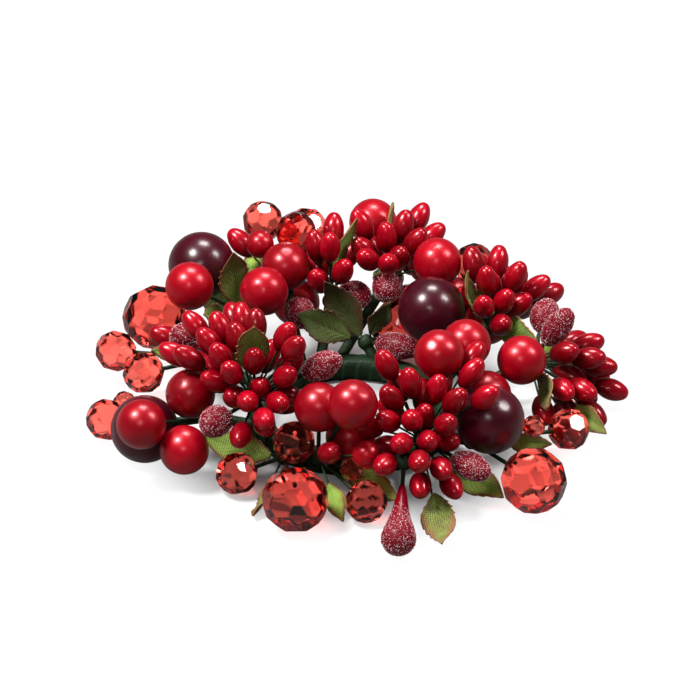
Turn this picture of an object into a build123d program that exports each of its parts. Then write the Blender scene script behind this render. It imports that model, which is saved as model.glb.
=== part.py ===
from build123d import *
import math
import os
from itertools import combinations
from typing import NamedTuple

import numpy as np

# A candle ring: berries, faceted beads, lacquered pips, frosted buds and fabric leaves
# on wired picks, which are bound round a taped wire ring. Millimetres, +Z up.
# The origin is the middle of the candle bore. The ring stands on its band and lowest beads.

# Whole ring
ring_width = 127.0  # from the outermost bead to the outermost pip
mound_height = 36.0  # from the floor to the highest pips

# Taped band and its core
bore_diameter = 40.0
band_height = 6.0
band_width = 5.0
band_edge_radius = 0.6
core_wire_diameter = 2.4

# Berries
berry_diameter = 12.0
small_berry_diameter = 7.0
dark_berry_diameter = 16.5

# Faceted beads
large_bead_diameter = 15.8
small_bead_diameter = 10.2
seed_bead_diameter = 5.6
bead_hole_clearance = 0.15

# Pips
pip_length = 9.2
pip_diameter = 5.7

# Frosted buds and the drop
bud_length = 9.8
bud_diameter = 7.8
slim_bud_length = 12.0
slim_bud_diameter = 6.8
drop_length = 19.5
drop_diameter = 8.6
drop_root_diameter = 1.8

# Leaves
leaf_length = 17.0
leaf_width = 8.6
leaf_thickness = 0.4
leaf_bow_radius = 21.0
small_leaf_length = 11.0
small_leaf_width = 5.6

# Stems
pip_stem_diameter = 0.5
berry_stem_diameter = 1.0
neck_diameter = 2.6
knot_diameter = 4.0
knot_flat_diameter = 1.8

# Clearances
piece_gap = 0.2  # between neighbours
bore_gap = 0.5  # least gap between the bore's cylinder and what leans over it
cut_overrun = 2.0

# How blunt an oval's ends are: the radius of each, of its half width
pip_end_share = 0.7
bud_end_share = 0.8
slim_bud_end_share = 0.7

# The view that gives the places: pixels of a square picture, seen from the front and above
ring_end_pixels = (87, 617)  # its left and right ends
axis_pixels = (352, 425)  # the middle of the bore on the floor
view_elevation = 30

pixel_size = ring_width / (ring_end_pixels[1] - ring_end_pixels[0])
floor_height = -band_height / 2
band_middle_radius = (bore_diameter + band_width) / 2
view_sine = math.sin(math.radians(view_elevation))
view_cosine = math.cos(math.radians(view_elevation))
view_right = np.array([1, 0, 0])
view_up = np.array([0, view_sine, view_cosine])
view_toward = np.array([0, -view_cosine, view_sine])


class Kind(NamedTuple):
    """A kind of piece: its length, width and stem, and an oval's blunt ends or a drop's root."""

    length: float
    diameter: float
    stem_diameter: float
    end_share: float = 0
    root_diameter: float = 0


class Seat(NamedTuple):
    """A berry, bead or bud: its centre's pixel, and its height as a share of the mound's.

    A share of 0 stands it on the floor.
    """

    kind: str
    x_pixel: float
    y_pixel: float
    height_share: float


class Pip(NamedTuple):
    """A pip: its centre's pixel, and how far it leans to the viewer, as a share of the mound."""

    x_pixel: float
    y_pixel: float
    toward_share: float


class Leaf(NamedTuple):
    """A leaf: its centre's pixel, its height share, and its roll as a share of a half turn."""

    kind: str
    x_pixel: float
    y_pixel: float
    height_share: float
    roll_share: float


class Pick(NamedTuple):
    """A wired pick: its hub's pixel and height share, and what its stems carry.

    Its neck leaves the band at an angle round the bore, counted from the right.
    """

    hub_x_pixel: float
    hub_y_pixel: float
    hub_height_share: float
    neck_degrees: float
    seats: tuple = ()
    pips: tuple = ()
    leaves: tuple = ()


kinds = {
    "berry": Kind(berry_diameter, berry_diameter, berry_stem_diameter),
    "small_berry": Kind(small_berry_diameter, small_berry_diameter, pip_stem_diameter),
    "dark_berry": Kind(dark_berry_diameter, dark_berry_diameter, berry_stem_diameter),
    "large_bead": Kind(large_bead_diameter, large_bead_diameter, berry_stem_diameter),
    "small_bead": Kind(small_bead_diameter, small_bead_diameter, berry_stem_diameter),
    "seed_bead": Kind(seed_bead_diameter, seed_bead_diameter, berry_stem_diameter),
    "pip": Kind(pip_length, pip_diameter, pip_stem_diameter, pip_end_share),
    "bud": Kind(bud_length, bud_diameter, berry_stem_diameter, bud_end_share),
    "slim_bud": Kind(
        slim_bud_length, slim_bud_diameter, berry_stem_diameter, slim_bud_end_share
    ),
    "drop": Kind(
        drop_length, drop_diameter, berry_stem_diameter, root_diameter=drop_root_diameter
    ),
    "leaf": Kind(leaf_length, leaf_width, pip_stem_diameter),
    "small_leaf": Kind(small_leaf_length, small_leaf_width, pip_stem_diameter),
}
bead_kinds = ("large_bead", "small_bead", "seed_bead")
leaf_kinds = ("leaf", "small_leaf")

picks = {
    "inner_rear": Pick(
        366, 342, 0.24, 73,
        seats=(
            Seat("slim_bud", 393, 347, 0.26),
            Seat("large_bead", 398, 330, 0.0),
        ),
        leaves=(
            Leaf("leaf", 328, 322, 0.42, 0.05),
            Leaf("leaf", 350, 318, 0.44, -0.1),
            Leaf("small_leaf", 376, 318, 0.42, 0.1),
        ),
    ),
    "rear_left_spray": Pick(
        330, 300, 0.39, 111,
        seats=(
            Seat("bud", 353.6, 295.5, 0.52),
        ),
        pips=(
            Pip(326, 228, 0.0),
            Pip(327, 248, 0.2),
            Pip(315, 254, 0.12),
            Pip(340.6, 270, 0.25),
            Pip(321.7, 282.6, 0.3),
            Pip(345, 250, -0.3),
            Pip(318, 246, -0.32),
            Pip(335, 262, -0.42),
            Pip(310, 268, -0.36),
            Pip(333, 237, -0.16),
            Pip(330, 268, 0.08),
            Pip(306, 240, -0.2),
        ),
        leaves=(
            Leaf("leaf", 347, 250, 0.72, 0.38),
        ),
    ),
    "rear_spray": Pick(
        390, 275, 0.47, 101,
        seats=(
            Seat("berry", 373.5, 231, 0.64),
            Seat("bud", 385, 285.3, 0.54),
        ),
        pips=(
            Pip(360, 226.5, 0.1),
            Pip(362, 244.5, 0.18),
            Pip(372.5, 257.7, 0.3),
            Pip(386.8, 237, 0.16),
            Pip(397.7, 258, 0.26),
            Pip(411.5, 232, 0.1),
            Pip(418, 246.5, 0.2),
            Pip(418, 224, -0.05),
            Pip(440.8, 263.5, 0.14),
            Pip(402, 246, -0.28),
            Pip(380, 252, -0.34),
            Pip(416, 262, -0.3),
            Pip(396, 268, -0.42),
            Pip(374, 240, -0.08),
            Pip(405, 240, -0.1),
            Pip(385, 262, 0.34),
            Pip(428, 238, -0.12),
        ),
        leaves=(
            Leaf("small_leaf", 399, 226, 0.7, 0.45),
            Leaf("leaf", 388, 262, 0.36, 0.9),
        ),
    ),
    "rear_right": Pick(
        450, 298, 0.36, 38,
        seats=(
            Seat("dark_berry", 434, 308, 0.56),
            Seat("berry", 433.5, 262.5, 0.66),
            Seat("berry", 420, 249.5, 0.54),
            Seat("small_bead", 425, 303, 0.0),
            Seat("berry", 455, 305, 0.0),
        ),
    ),
    "right_rear_spray": Pick(
        489, 328, 0.33, 27,
        seats=(
            Seat("small_bead", 483, 268, 0.53),
            Seat("berry", 486, 316, 0.0),
        ),
        pips=(
            Pip(475.8, 262.5, 0.06),
            Pip(497, 262, 0.0),
            Pip(482.4, 282, 0.22),
            Pip(509.7, 284.3, 0.1),
            Pip(485, 306.7, 0.34),
            Pip(502.8, 301, 0.24),
            Pip(533, 290.6, 0.06),
            Pip(550, 293.5, -0.1),
            Pip(500, 323.3, 0.36),
            Pip(515, 292, -0.26),
            Pip(500, 284, -0.32),
            Pip(523, 306, -0.36),
            Pip(494, 292, 0.02),
            Pip(517, 303, 0.1),
            Pip(520, 286, -0.12),
            Pip(486, 270, -0.2),
        ),
        leaves=(
            Leaf("leaf", 472, 298, 0.62, 0.4),
            Leaf("leaf", 523, 330, 0.42, 0.1),
            Leaf("leaf", 500, 300, 0.3, 0.9),
        ),
    ),
    "right_spray": Pick(
        530, 362, 0.31, 14,
        seats=(
            Seat("bud", 541.3, 313.5, 0.5),
            Seat("slim_bud", 555, 327, 0.56),
        ),
        pips=(
            Pip(566.6, 353.6, 0.2),
            Pip(589, 347.6, 0.0),
            Pip(581, 367, 0.12),
            Pip(598.7, 366.4, 0.04),
            Pip(560, 388, 0.32),
            Pip(579.4, 390.6, 0.25),
            Pip(604, 392, 0.06),
            Pip(551.5, 410.6, 0.32),
            Pip(568.4, 421, 0.25),
            Pip(587.8, 412.4, 0.2),
            Pip(573, 346, -0.26),
            Pip(583, 360, -0.3),
            Pip(562, 362, -0.4),
            Pip(572, 402, 0.1),
            Pip(592, 380, -0.12),
            Pip(563, 372, 0.06),
            Pip(588, 398, -0.05),
        ),
        leaves=(
            Leaf("leaf", 543, 394, 0.34, 0.35),
            Leaf("small_leaf", 586, 420, 0.1, 0.1),
            Leaf("leaf", 560, 350, 0.22, 0.9),
        ),
    ),
    "right_inner": Pick(
        478, 395, 0.22, 355,
        seats=(
            Seat("berry", 436.5, 364, 0.74),
            Seat("berry", 465, 344, 0.7),
            Seat("berry", 523, 366, 0.5),
        ),
    ),
    "right_front": Pick(
        470, 440, 0.17, 335,
        seats=(
            Seat("dark_berry", 485.5, 419.5, 0.39),
            Seat("berry", 482, 391, 0.42),
            Seat("large_bead", 526.5, 476.5, 0.0),
            Seat("seed_bead", 530, 428, 0.22),
            Seat("small_bead", 563.6, 421, 0.0),
        ),
        leaves=(
            Leaf("small_leaf", 526, 437, 0.14, 0.1),
        ),
    ),
    "front_right_spray": Pick(
        420, 438, 0.28, 315,
        seats=(
            Seat("slim_bud", 464.7, 456.2, 0.34),
        ),
        pips=(
            Pip(384, 364.5, 0.24),
            Pip(405.3, 382, 0.28),
            Pip(431, 395.3, 0.24),
            Pip(390, 397.5, 0.3),
            Pip(383.3, 421, 0.34),
            Pip(406.7, 420.2, 0.42),
            Pip(442.7, 425.3, 0.4),
            Pip(456, 400.4, 0.3),
            Pip(478, 397.5, 0.32),
            Pip(467.6, 372.5, 0.16),
            Pip(467.6, 356.4, -0.02),
            Pip(372, 431, 0.26),
            Pip(401, 442, 0.56),
            Pip(416, 456.5, 0.6),
            Pip(394.3, 465.7, 0.52),
            Pip(438.3, 465, 0.46),
            Pip(419.2, 482.6, 0.42),
            Pip(447.8, 482.6, 0.36),
            Pip(424, 412, 0.2),
            Pip(402, 404, 0.14),
            Pip(446, 444, 0.22),
            Pip(384, 446, 0.16),
            Pip(424, 434, 0.44),
            Pip(414, 392, 0.06),
            Pip(440, 380, 0.0),
            Pip(395, 382, -0.02),
        ),
        leaves=(
            Leaf("leaf", 434, 512, 0.13, 0.05),
            Leaf("leaf", 476, 474, 0.16, -0.1),
        ),
    ),
    "front_drop": Pick(
        402.5, 459, 0.38, 298,
        seats=(
            Seat("drop", 398, 513, 0.185),
        ),
    ),
    "front": Pick(
        319, 455, 0.22, 262,
        seats=(
            Seat("berry", 351, 394.5, 0.72),
            Seat("berry", 344, 432, 0.36),
            Seat("berry", 316, 411, 0.52),
            Seat("small_berry", 367, 455, 0.39),
            Seat("small_bead", 363, 495, 0.0),
            Seat("seed_bead", 347, 471, 0.2),
        ),
        pips=(
            Pip(330.5, 449, 0.2),
        ),
        leaves=(
            Leaf("small_leaf", 342, 498, 0.1, 0.05),
            Leaf("leaf", 369, 468, 0.22, 0.1),
        ),
    ),
    "front_left": Pick(
        285, 455, 0.17, 238,
        seats=(
            Seat("large_bead", 297, 495, 0.0),
            Seat("small_bead", 300, 433.6, 0.39),
            Seat("small_bead", 239, 471, 0.0),
        ),
        leaves=(
            Leaf("small_leaf", 263, 497, 0.08, 0.4),
            Leaf("leaf", 236, 443, 0.22, 0.1),
        ),
    ),
    "left_spray": Pick(
        255, 398, 0.44, 216,
        seats=(
            Seat("bud", 226, 410.5, 0.53),
            Seat("slim_bud", 316.6, 366, 0.8),
        ),
        pips=(
            Pip(222, 332, 0.08),
            Pip(229, 324, -0.08),
            Pip(243.5, 323, 0.0),
            Pip(246, 338, 0.18),
            Pip(264.3, 331, 0.1),
            Pip(289, 341, 0.3),
            Pip(300.5, 354, 0.32),
            Pip(198.4, 326.5, -0.02),
            Pip(211.5, 347, 0.14),
            Pip(196, 361, 0.1),
            Pip(227, 359.6, 0.26),
            Pip(235, 376, 0.34),
            Pip(257.3, 367.5, 0.34),
            Pip(278, 375, 0.36),
            Pip(299.5, 369.5, 0.24),
            Pip(299, 387, 0.24),
            Pip(256, 402.7, 0.42),
            Pip(278, 399, 0.4),
            Pip(246.6, 432, 0.38),
            Pip(267.8, 423, 0.34),
            Pip(177, 362, 0.04),
            Pip(218, 380, 0.2),
            Pip(262, 386, 0.2),
            Pip(243, 393, 0.3),
            Pip(284, 386, 0.12),
            Pip(212, 364, -0.02),
            Pip(256, 348, -0.04),
            Pip(274, 352, 0.02),
            Pip(234, 345, -0.06),
            Pip(262, 412, 0.5),
        ),
        leaves=(
            Leaf("leaf", 259, 352, 0.84, 0.05),
        ),
    ),
    "left": Pick(
        222, 418, 0.2, 194,
        seats=(
            Seat("berry", 190, 389, 0.5),
            Seat("berry", 149, 418, 0.46),
            Seat("berry", 187, 447, 0.28),
            Seat("dark_berry", 157, 422, 0.0),
            Seat("small_bead", 108, 425, 0.0),
            Seat("seed_bead", 124, 403, 0.16),
        ),
    ),
    "left_rear": Pick(
        212, 358, 0.22, 154,
        seats=(
            Seat("large_bead", 153, 316, 0.36),
            Seat("small_bead", 114, 351, 0.25),
            Seat("small_bead", 144.5, 371, 0.25),
            Seat("bud", 186, 338.5, 0.55),
        ),
        pips=(
            Pip(165.5, 338, 0.1),
        ),
        leaves=(
            Leaf("small_leaf", 168, 354, 0.34, 0.1),
        ),
    ),
    "rear_left": Pick(
        240, 312, 0.33, 134,
        seats=(
            Seat("berry", 191.7, 290, 0.61),
            Seat("dark_berry", 206, 265, 0.55),
            Seat("berry", 240, 305, 0.0),
        ),
        leaves=(
            Leaf("leaf", 234, 280, 0.62, 0.1),
            Leaf("small_leaf", 210, 309, 0.5, 0.1),
            Leaf("leaf", 214, 296, 0.28, 0.9),
        ),
    ),
    "rear_left_inner": Pick(
        285, 292, 0.39, 121,
        seats=(
            Seat("berry", 268, 281, 0.7),
            Seat("berry", 291, 269, 0.64),
            Seat("small_bead", 257, 223, 0.75),
            Seat("small_bead", 298.7, 234, 0.72),
            Seat("small_bead", 311, 232, 0.6),
            Seat("small_berry", 259.7, 246, 0.72),
            Seat("bud", 299.3, 312.5, 0.42),
            Seat("berry", 285, 300, 0.0),
            Seat("small_bead", 262, 292, 0.12),
        ),
        pips=(
            Pip(240, 240, 0.0),
        ),
        leaves=(
            Leaf("leaf", 270, 285, 0.3, 0.9),
        ),
    ),
}


class Piece(NamedTuple):
    """A piece on its stem: its kind, its pick, whether it stands, its roll and its home."""

    kind: str
    pick: str
    stands: bool
    roll_share: float
    hub: np.ndarray
    home: np.ndarray


def place_at_height(x_pixel, y_pixel, height):
    """The point seen at a pixel, at a height over the floor."""
    across = (x_pixel - axis_pixels[0]) * pixel_size
    rise = (axis_pixels[1] - y_pixel) * pixel_size
    back = (rise - height * view_cosine) / view_sine
    return np.array([across, back, floor_height + height])


def clear_of_bore(hub):
    """A hub's place, moved outward where its knot would lean over the bore."""
    least = bore_diameter / 2 + bore_gap + knot_diameter / 2
    outward = max(1, least / np.linalg.norm(hub[:2]))
    return hub * np.array([outward, outward, 1])


def gather_pieces():
    """Every piece of every pick, at the place that the view gives it."""
    pieces = []
    for name, pick in picks.items():
        hub_pixels = (pick.hub_x_pixel, pick.hub_y_pixel)
        hub = clear_of_bore(place_at_height(*hub_pixels, pick.hub_height_share * mound_height))
        for seat in pick.seats:
            stands = seat.height_share == 0
            height = seat.height_share * mound_height
            if stands:
                height = kinds[seat.kind].diameter / 2
            home = place_at_height(seat.x_pixel, seat.y_pixel, height)
            pieces.append(Piece(seat.kind, name, stands, 0, hub, home))
        for pip in pick.pips:
            across = (pip.x_pixel - pick.hub_x_pixel) * pixel_size
            rise = (pick.hub_y_pixel - pip.y_pixel) * pixel_size
            toward = pip.toward_share * mound_height
            home = hub + across * view_right + rise * view_up + toward * view_toward
            pieces.append(Piece("pip", name, False, 0, hub, home))
        for leaf in pick.leaves:
            height = leaf.height_share * mound_height
            home = place_at_height(leaf.x_pixel, leaf.y_pixel, height)
            pieces.append(Piece(leaf.kind, name, False, leaf.roll_share, hub, home))
    return pieces


settle_steps = 300
relist_steps = 20  # how often the neighbours are listed again
tiny = 1e-6
near_gap = 4.0  # pieces closer than this are neighbours
longest_push = 1.5  # in one step
pull_share = 0.04  # how far a step brings a piece back to its pixel
depth_pull_share = 0.01  # the same along the view, where the picture says less
push_share = 0.7  # how much of an overlap one step takes away
fade_share = 0.5  # the share of the steps after which nothing is pulled back

stem_point_shares = (1 / 3, 2 / 3, 1)  # places on a stem that keep off the band and bore
ball_pitch_share = 0.5  # spacing of a long piece's balls, of their radius
leaf_row_shares = (-0.43, -0.29, -0.15, 0, 0.15, 0.29, 0.43)  # places of a leaf's balls, of its length
leaf_column_shares = (-0.74, -0.25, 0.25, 0.74)  # the same across, of its half width there
leaf_ball_share = 0.14  # radius of a leaf's balls, of its width

leaf_peak_share = 0.42  # where a leaf is widest, from its root, of its length
leaf_root_share = 0.16  # width of a leaf's root, of its width
tooth_count = 7  # on each side of a leaf
tooth_share = 0.075  # depth of a leaf's teeth, of its width
tooth_peak_share = 0.8  # where a tooth's point is, of its pitch


def leaf_half_width(kind, share):
    """Half a leaf's width, at a share of its length from the root."""
    if share < leaf_peak_share:
        swell = math.sin(math.pi / 2 * share / leaf_peak_share)
    else:
        swell = math.cos(math.pi / 2 * (share - leaf_peak_share) / (1 - leaf_peak_share))
    root = leaf_root_share * (1 - share)
    return kind.diameter / 2 * (root + (1 - root) * max(swell, 0))


def lengths_of(vectors):
    """The length of each row, never quite zero."""
    return np.maximum(np.sqrt((vectors * vectors).sum(axis=1)), tiny)


def dot(first, second):
    """The dot product of each pair of rows."""
    return (first * second).sum(axis=1)


def leaf_lift(kind, along):
    """How far a leaf's middle face rises from the line between its ends."""
    half = kind.length / 2
    return math.sqrt(leaf_bow_radius**2 - along**2) - math.sqrt(leaf_bow_radius**2 - half**2)


def drop_balls(kind):
    """Places along a drop, and the radii of the balls there that fill it."""
    tip, root = kind.diameter / 2, kind.root_diameter / 2
    tip_place, root_place = kind.length / 2 - tip, root - kind.length / 2
    pitch = ball_pitch_share * (root + tip) / 2
    count = 1 + math.ceil((tip_place - root_place) / pitch)
    shares = np.linspace(0, 1, count)
    return root_place + shares * (tip_place - root_place), root + shares * (tip - root)


def oval_arcs(kind):
    """An oval's end radius, its end centres' height, and the belly arc's radius that joins them."""
    wide = kind.diameter / 2
    end = kind.end_share * wide
    height = kind.length / 2 - end
    return end, height, (height**2 / (wide - end) + wide + end) / 2


def oval_balls(kind):
    """Places along an oval, and the radii of the balls there that fill it."""
    _, height, belly = oval_arcs(kind)
    wide = kind.diameter / 2
    count = 1 + math.ceil(2 * height / (ball_pitch_share * wide))
    places = np.linspace(-height, height, count)
    return places, belly - np.sqrt((belly - wide) ** 2 + places**2)


def make_balls(pieces):
    """The balls that stand for each piece: their owners, places in its own frame, and radii."""
    owners, places, radii = [], [], []
    for index, piece in enumerate(pieces):
        kind = kinds[piece.kind]
        if piece.kind in leaf_kinds:
            for row_share in leaf_row_shares:
                along = row_share * kind.length
                half_width = leaf_half_width(kind, row_share + 1 / 2)
                for column_share in leaf_column_shares:
                    owners.append(index)
                    places.append((column_share * half_width, leaf_lift(kind, along), along))
                    radii.append(leaf_ball_share * kind.diameter)
            continue
        balls = ([0], [kind.diameter / 2])
        if kind.root_diameter:
            balls = drop_balls(kind)
        elif kind.end_share:
            balls = oval_balls(kind)
        for along, radius in zip(*balls):
            owners.append(index)
            places.append((0, 0, along))
            radii.append(radius)
    return np.array(owners), np.array(places), np.array(radii)


def frames_of(centres, hubs, rolls):
    """Each piece's three directions: across it, out of its face, and along it from its hub."""
    axes = centres - hubs
    axes = axes / lengths_of(axes)[:, None]
    across = np.cross(axes, view_toward)
    across = across / lengths_of(across)[:, None]
    normals = np.cross(axes, across)
    angles = rolls[:, None] * math.pi
    sides = across * np.cos(angles) + normals * np.sin(angles)
    return np.stack([sides, np.cross(axes, sides), axes], axis=1)


def nearest_shares(starts, runs, other_starts, other_runs):
    """The shares along two rows of segments at which they pass nearest each other."""
    squares = np.maximum(dot(runs, runs), tiny)
    other_squares = np.maximum(dot(other_runs, other_runs), tiny)
    offsets = starts - other_starts
    dots = dot(runs, other_runs)
    first, second = dot(offsets, runs), dot(offsets, other_runs)
    spread = np.maximum(squares * other_squares - dots * dots, tiny)
    shares = np.clip((dots * second - other_squares * first) / spread, 0, 1)
    other_shares = np.clip((dots * shares + second) / other_squares, 0, 1)
    shares = np.clip((dots * other_shares - first) / squares, 0, 1)
    return shares, other_shares


def shortfall(gaps, needed):
    """What each gap vector lacks of the length needed, as a vector, and the worst lack."""
    lengths = lengths_of(gaps)
    lacks = np.maximum(needed - lengths, 0)
    return gaps * (lacks / lengths)[:, None], lacks.max(initial=0)


def band_gaps(points):
    """The gap vector from the band's section to each point."""
    radial = lengths_of(points[:, :2])
    inner = bore_diameter / 2
    beside = radial - np.clip(radial, inner, inner + band_width)
    above = points[:, 2] - np.clip(points[:, 2], -band_height / 2, band_height / 2)
    return np.column_stack([points[:, :2] * (beside / radial)[:, None], above])


def bore_lacks(points, radii):
    """What each ball lacks of clearing the bore's cylinder, as a vector, and the worst."""
    radial = lengths_of(points[:, :2])
    lacks = np.maximum(bore_diameter / 2 + bore_gap + radii - radial, 0)
    sideways = points[:, :2] * (lacks / radial)[:, None]
    return np.column_stack([sideways, np.zeros(len(points))]), lacks.max(initial=0)


def neck_start(pick):
    """Where a pick's neck leaves the middle of the band."""
    angle = math.radians(pick.neck_degrees)
    return band_middle_radius * np.array([math.cos(angle), math.sin(angle), 0])


class Settling:
    """Pieces that push each other apart until none touches another."""

    def __init__(self, pieces):
        """Lists the pieces' balls and stems, with the picks' necks after the stems."""
        names = list(picks)
        self.pieces = pieces
        self.hubs = np.array([piece.hub for piece in pieces])
        self.homes = np.array([piece.home for piece in pieces])
        self.centres = self.homes.copy()
        self.rolls = np.array([piece.roll_share for piece in pieces])
        self.stands = np.array([piece.stands for piece in pieces])
        self.half_lengths = np.array([kinds[piece.kind].length / 2 for piece in pieces])
        self.least_reach = self.half_lengths + knot_diameter / 2 + piece_gap
        self.count = len(pieces)
        self.owner, self.places, self.radii = make_balls(pieces)
        pick_of = np.array([names.index(piece.pick) for piece in pieces])
        self.pick_hubs = np.array([self.hubs[pick_of == number][0] for number in range(len(names))])
        self.neck_starts = np.array([neck_start(pick) for pick in picks.values()])
        self.owner = np.append(self.owner, np.full(len(names), self.count))
        self.radii = np.append(self.radii, np.full(len(names), knot_diameter / 2))
        self.ball_pick = np.append(np.full(len(self.places), -1), np.arange(len(names)))
        self.line_owner = np.append(np.arange(self.count), np.full(len(names), self.count))
        self.line_pick = np.append(pick_of, np.arange(len(names)))
        stem_radii = [kinds[piece.kind].stem_diameter / 2 for piece in pieces]
        self.line_radii = np.append(stem_radii, np.full(len(names), neck_diameter / 2))

    def place(self):
        """Works out the balls' centres and the stems' ends from the pieces' centres."""
        frames = frames_of(self.centres, self.hubs, self.rolls)
        owner = self.owner[: len(self.places)]
        offsets = np.einsum("ij,ijk->ik", self.places, frames[owner])
        self.balls = np.vstack([self.centres[owner] + offsets, self.pick_hubs])
        ends = self.centres - frames[:, 2] * self.half_lengths[:, None]
        self.starts = np.vstack([self.hubs, self.neck_starts])
        self.runs = np.vstack([ends, self.pick_hubs]) - self.starts

    def list_neighbours(self):
        """Lists the pairs of balls, of stems with balls, and of stems that are near."""
        apart = self.balls[:, None, :] - self.balls[None, :, :]
        reach = self.radii[:, None] + self.radii[None, :] + near_gap
        near = (apart * apart).sum(axis=2) < reach * reach
        near &= self.owner[:, None] < self.owner[None, :]
        self.ball_pairs = np.nonzero(near)
        middles = self.starts + self.runs / 2
        halves = lengths_of(self.runs) / 2 + self.line_radii
        apart = middles[:, None, :] - self.balls[None, :, :]
        reach = halves[:, None] + self.radii[None, :] + near_gap
        near = (apart * apart).sum(axis=2) < reach * reach
        near &= self.line_owner[:, None] != self.owner[None, :]
        near &= self.line_pick[:, None] != self.ball_pick[None, :]
        self.mixed_pairs = np.nonzero(near)
        apart = middles[:, None, :] - middles[None, :, :]
        reach = halves[:, None] + halves[None, :] + near_gap
        near = (apart * apart).sum(axis=2) < reach * reach
        near &= self.line_pick[:, None] < self.line_pick[None, :]
        near &= self.line_owner[:, None] != self.line_owner[None, :]
        self.line_pairs = np.nonzero(near)

    def step(self, pull):
        """Moves every piece once, and gives the deepest overlap before the move.

        The last row of the pushes takes those on knots and necks, which stay where they are.
        """
        self.place()
        push = np.zeros((self.count + 1, 3))
        first, second = self.ball_pairs
        needed = self.radii[first] + self.radii[second] + piece_gap
        lacks, balls_worst = shortfall(self.balls[first] - self.balls[second], needed)
        np.add.at(push, self.owner[first], lacks / 2)
        np.add.at(push, self.owner[second], -lacks / 2)

        line, ball = self.mixed_pairs
        offsets = self.balls[ball] - self.starts[line]
        squares = dot(self.runs[line], self.runs[line])
        shares = np.clip(dot(offsets, self.runs[line]) / squares, 0, 1)
        needed = self.line_radii[line] + self.radii[ball] + piece_gap
        gaps = offsets - shares[:, None] * self.runs[line]
        lacks, mixed_worst = shortfall(gaps, needed)
        np.add.at(push, self.owner[ball], lacks / 2)
        np.add.at(push, self.line_owner[line], -lacks / 2 * shares[:, None])

        line, other = self.line_pairs
        segments = (self.starts[line], self.runs[line], self.starts[other], self.runs[other])
        shares, other_shares = nearest_shares(*segments)
        near_point = self.starts[line] + shares[:, None] * self.runs[line]
        far_point = self.starts[other] + other_shares[:, None] * self.runs[other]
        needed = self.line_radii[line] + self.line_radii[other] + piece_gap
        lacks, lines_worst = shortfall(near_point - far_point, needed)
        np.add.at(push, self.line_owner[line], lacks * shares[:, None])
        np.add.at(push, self.line_owner[other], -lacks * other_shares[:, None])

        lacks, bore_worst = bore_lacks(self.balls, self.radii)
        np.add.at(push, self.owner, lacks)
        lacks, band_worst = shortfall(band_gaps(self.balls), self.radii + piece_gap)
        np.add.at(push, self.owner, lacks)
        low = np.maximum(floor_height + self.radii - self.balls[:, 2], 0)
        np.add.at(push[:, 2], self.owner, low)
        worst = max(balls_worst, mixed_worst, lines_worst, bore_worst, band_worst)
        push = push[: self.count]
        for share in stem_point_shares:
            points = self.starts[: self.count] + share * self.runs[: self.count]
            radii = self.line_radii[: self.count]
            lacks, bore_worst = bore_lacks(points, radii)
            push += lacks * share
            lacks, band_worst = shortfall(band_gaps(points), radii + piece_gap)
            push += lacks * share
            worst = max(worst, bore_worst, band_worst)
        reach = self.centres - self.hubs
        lengths = lengths_of(reach)
        push += reach * (np.maximum(self.least_reach - lengths, 0) / lengths)[:, None]

        home = self.homes - self.centres
        depth = (home @ view_toward)[:, None] * view_toward
        push += pull * (pull_share * (home - depth) + depth_pull_share * depth)
        push *= np.minimum(1, longest_push / lengths_of(push))[:, None]
        self.centres += push_share * push
        self.centres[self.stands, 2] = self.homes[self.stands, 2]
        return worst

    def run(self):
        """Settles the pieces and gives their centres."""
        for number in range(settle_steps):
            if number % relist_steps == 0:
                self.place()
                self.list_neighbours()
            pull = max(0, 1 - number / (fade_share * settle_steps))
            worst = self.step(pull)
        print("Deepest overlap once settled:", round(float(worst), 3))
        return self.centres


# Templates, each along +Z with its root at the bottom
root_flat_margin = 0.2  # how much wider a piece's root flat is than its stem
wire_clearance = 0.05  # between the core wire and the tape
bead_wire_inset = 0.3  # how far a bead's wire ends inside its far facet
knot_start_share = 0.7  # where stems start inside a knot, of its radius
pentagon_share = 0.9393  # a bead's pentagons from its middle, of its corners' distance
hexagon_share = 0.9149  # the same for its hexagons


def on_ball(radius, height, turn):
    """The point of a profile on a ball's skin, at an angle over the ball's middle."""
    return (radius * math.cos(turn), height + radius * math.sin(turn))


def ball_arc(radius, height, low_turn, high_turn):
    """A profile's arc on a ball."""
    turns = (low_turn, (low_turn + high_turn) / 2, high_turn)
    return ThreePointArc(*(on_ball(radius, height, turn) for turn in turns))


def root_ball(kind):
    """The radius of the ball at a round piece's root."""
    if kind.end_share:
        return oval_arcs(kind)[0]
    return (kind.root_diameter or kind.diameter) / 2


def root_flat(kind):
    """The radius and height of a round piece's root flat, where its stem ends."""
    root = root_ball(kind)
    radius = kind.stem_diameter / 2 + root_flat_margin
    return radius, root - kind.length / 2 - math.sqrt(root**2 - radius**2)


def drop_side(kind, start):
    """A drop's profile from its root flat to its tip: two balls and the cone that joins them."""
    tip, root = kind.diameter / 2, kind.root_diameter / 2
    tip_height, root_height = kind.length / 2 - tip, root - kind.length / 2
    lean = math.asin((tip - root) / (tip_height - root_height))
    ball_arc(root, root_height, start, -lean)
    Line(on_ball(root, root_height, -lean), on_ball(tip, tip_height, -lean))
    ball_arc(tip, tip_height, -lean, math.pi / 2)


def oval_side(kind, start):
    """An oval's profile from its root flat to its tip: a blunt ball, the belly, a blunt ball."""
    end, height, belly = oval_arcs(kind)
    wide = kind.diameter / 2
    turn = math.atan(height / (belly - wide))
    ball_arc(end, -height, start, -turn)
    ThreePointArc(on_ball(end, -height, -turn), (wide, 0), on_ball(end, height, turn))
    ball_arc(end, height, turn, math.pi / 2)


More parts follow.
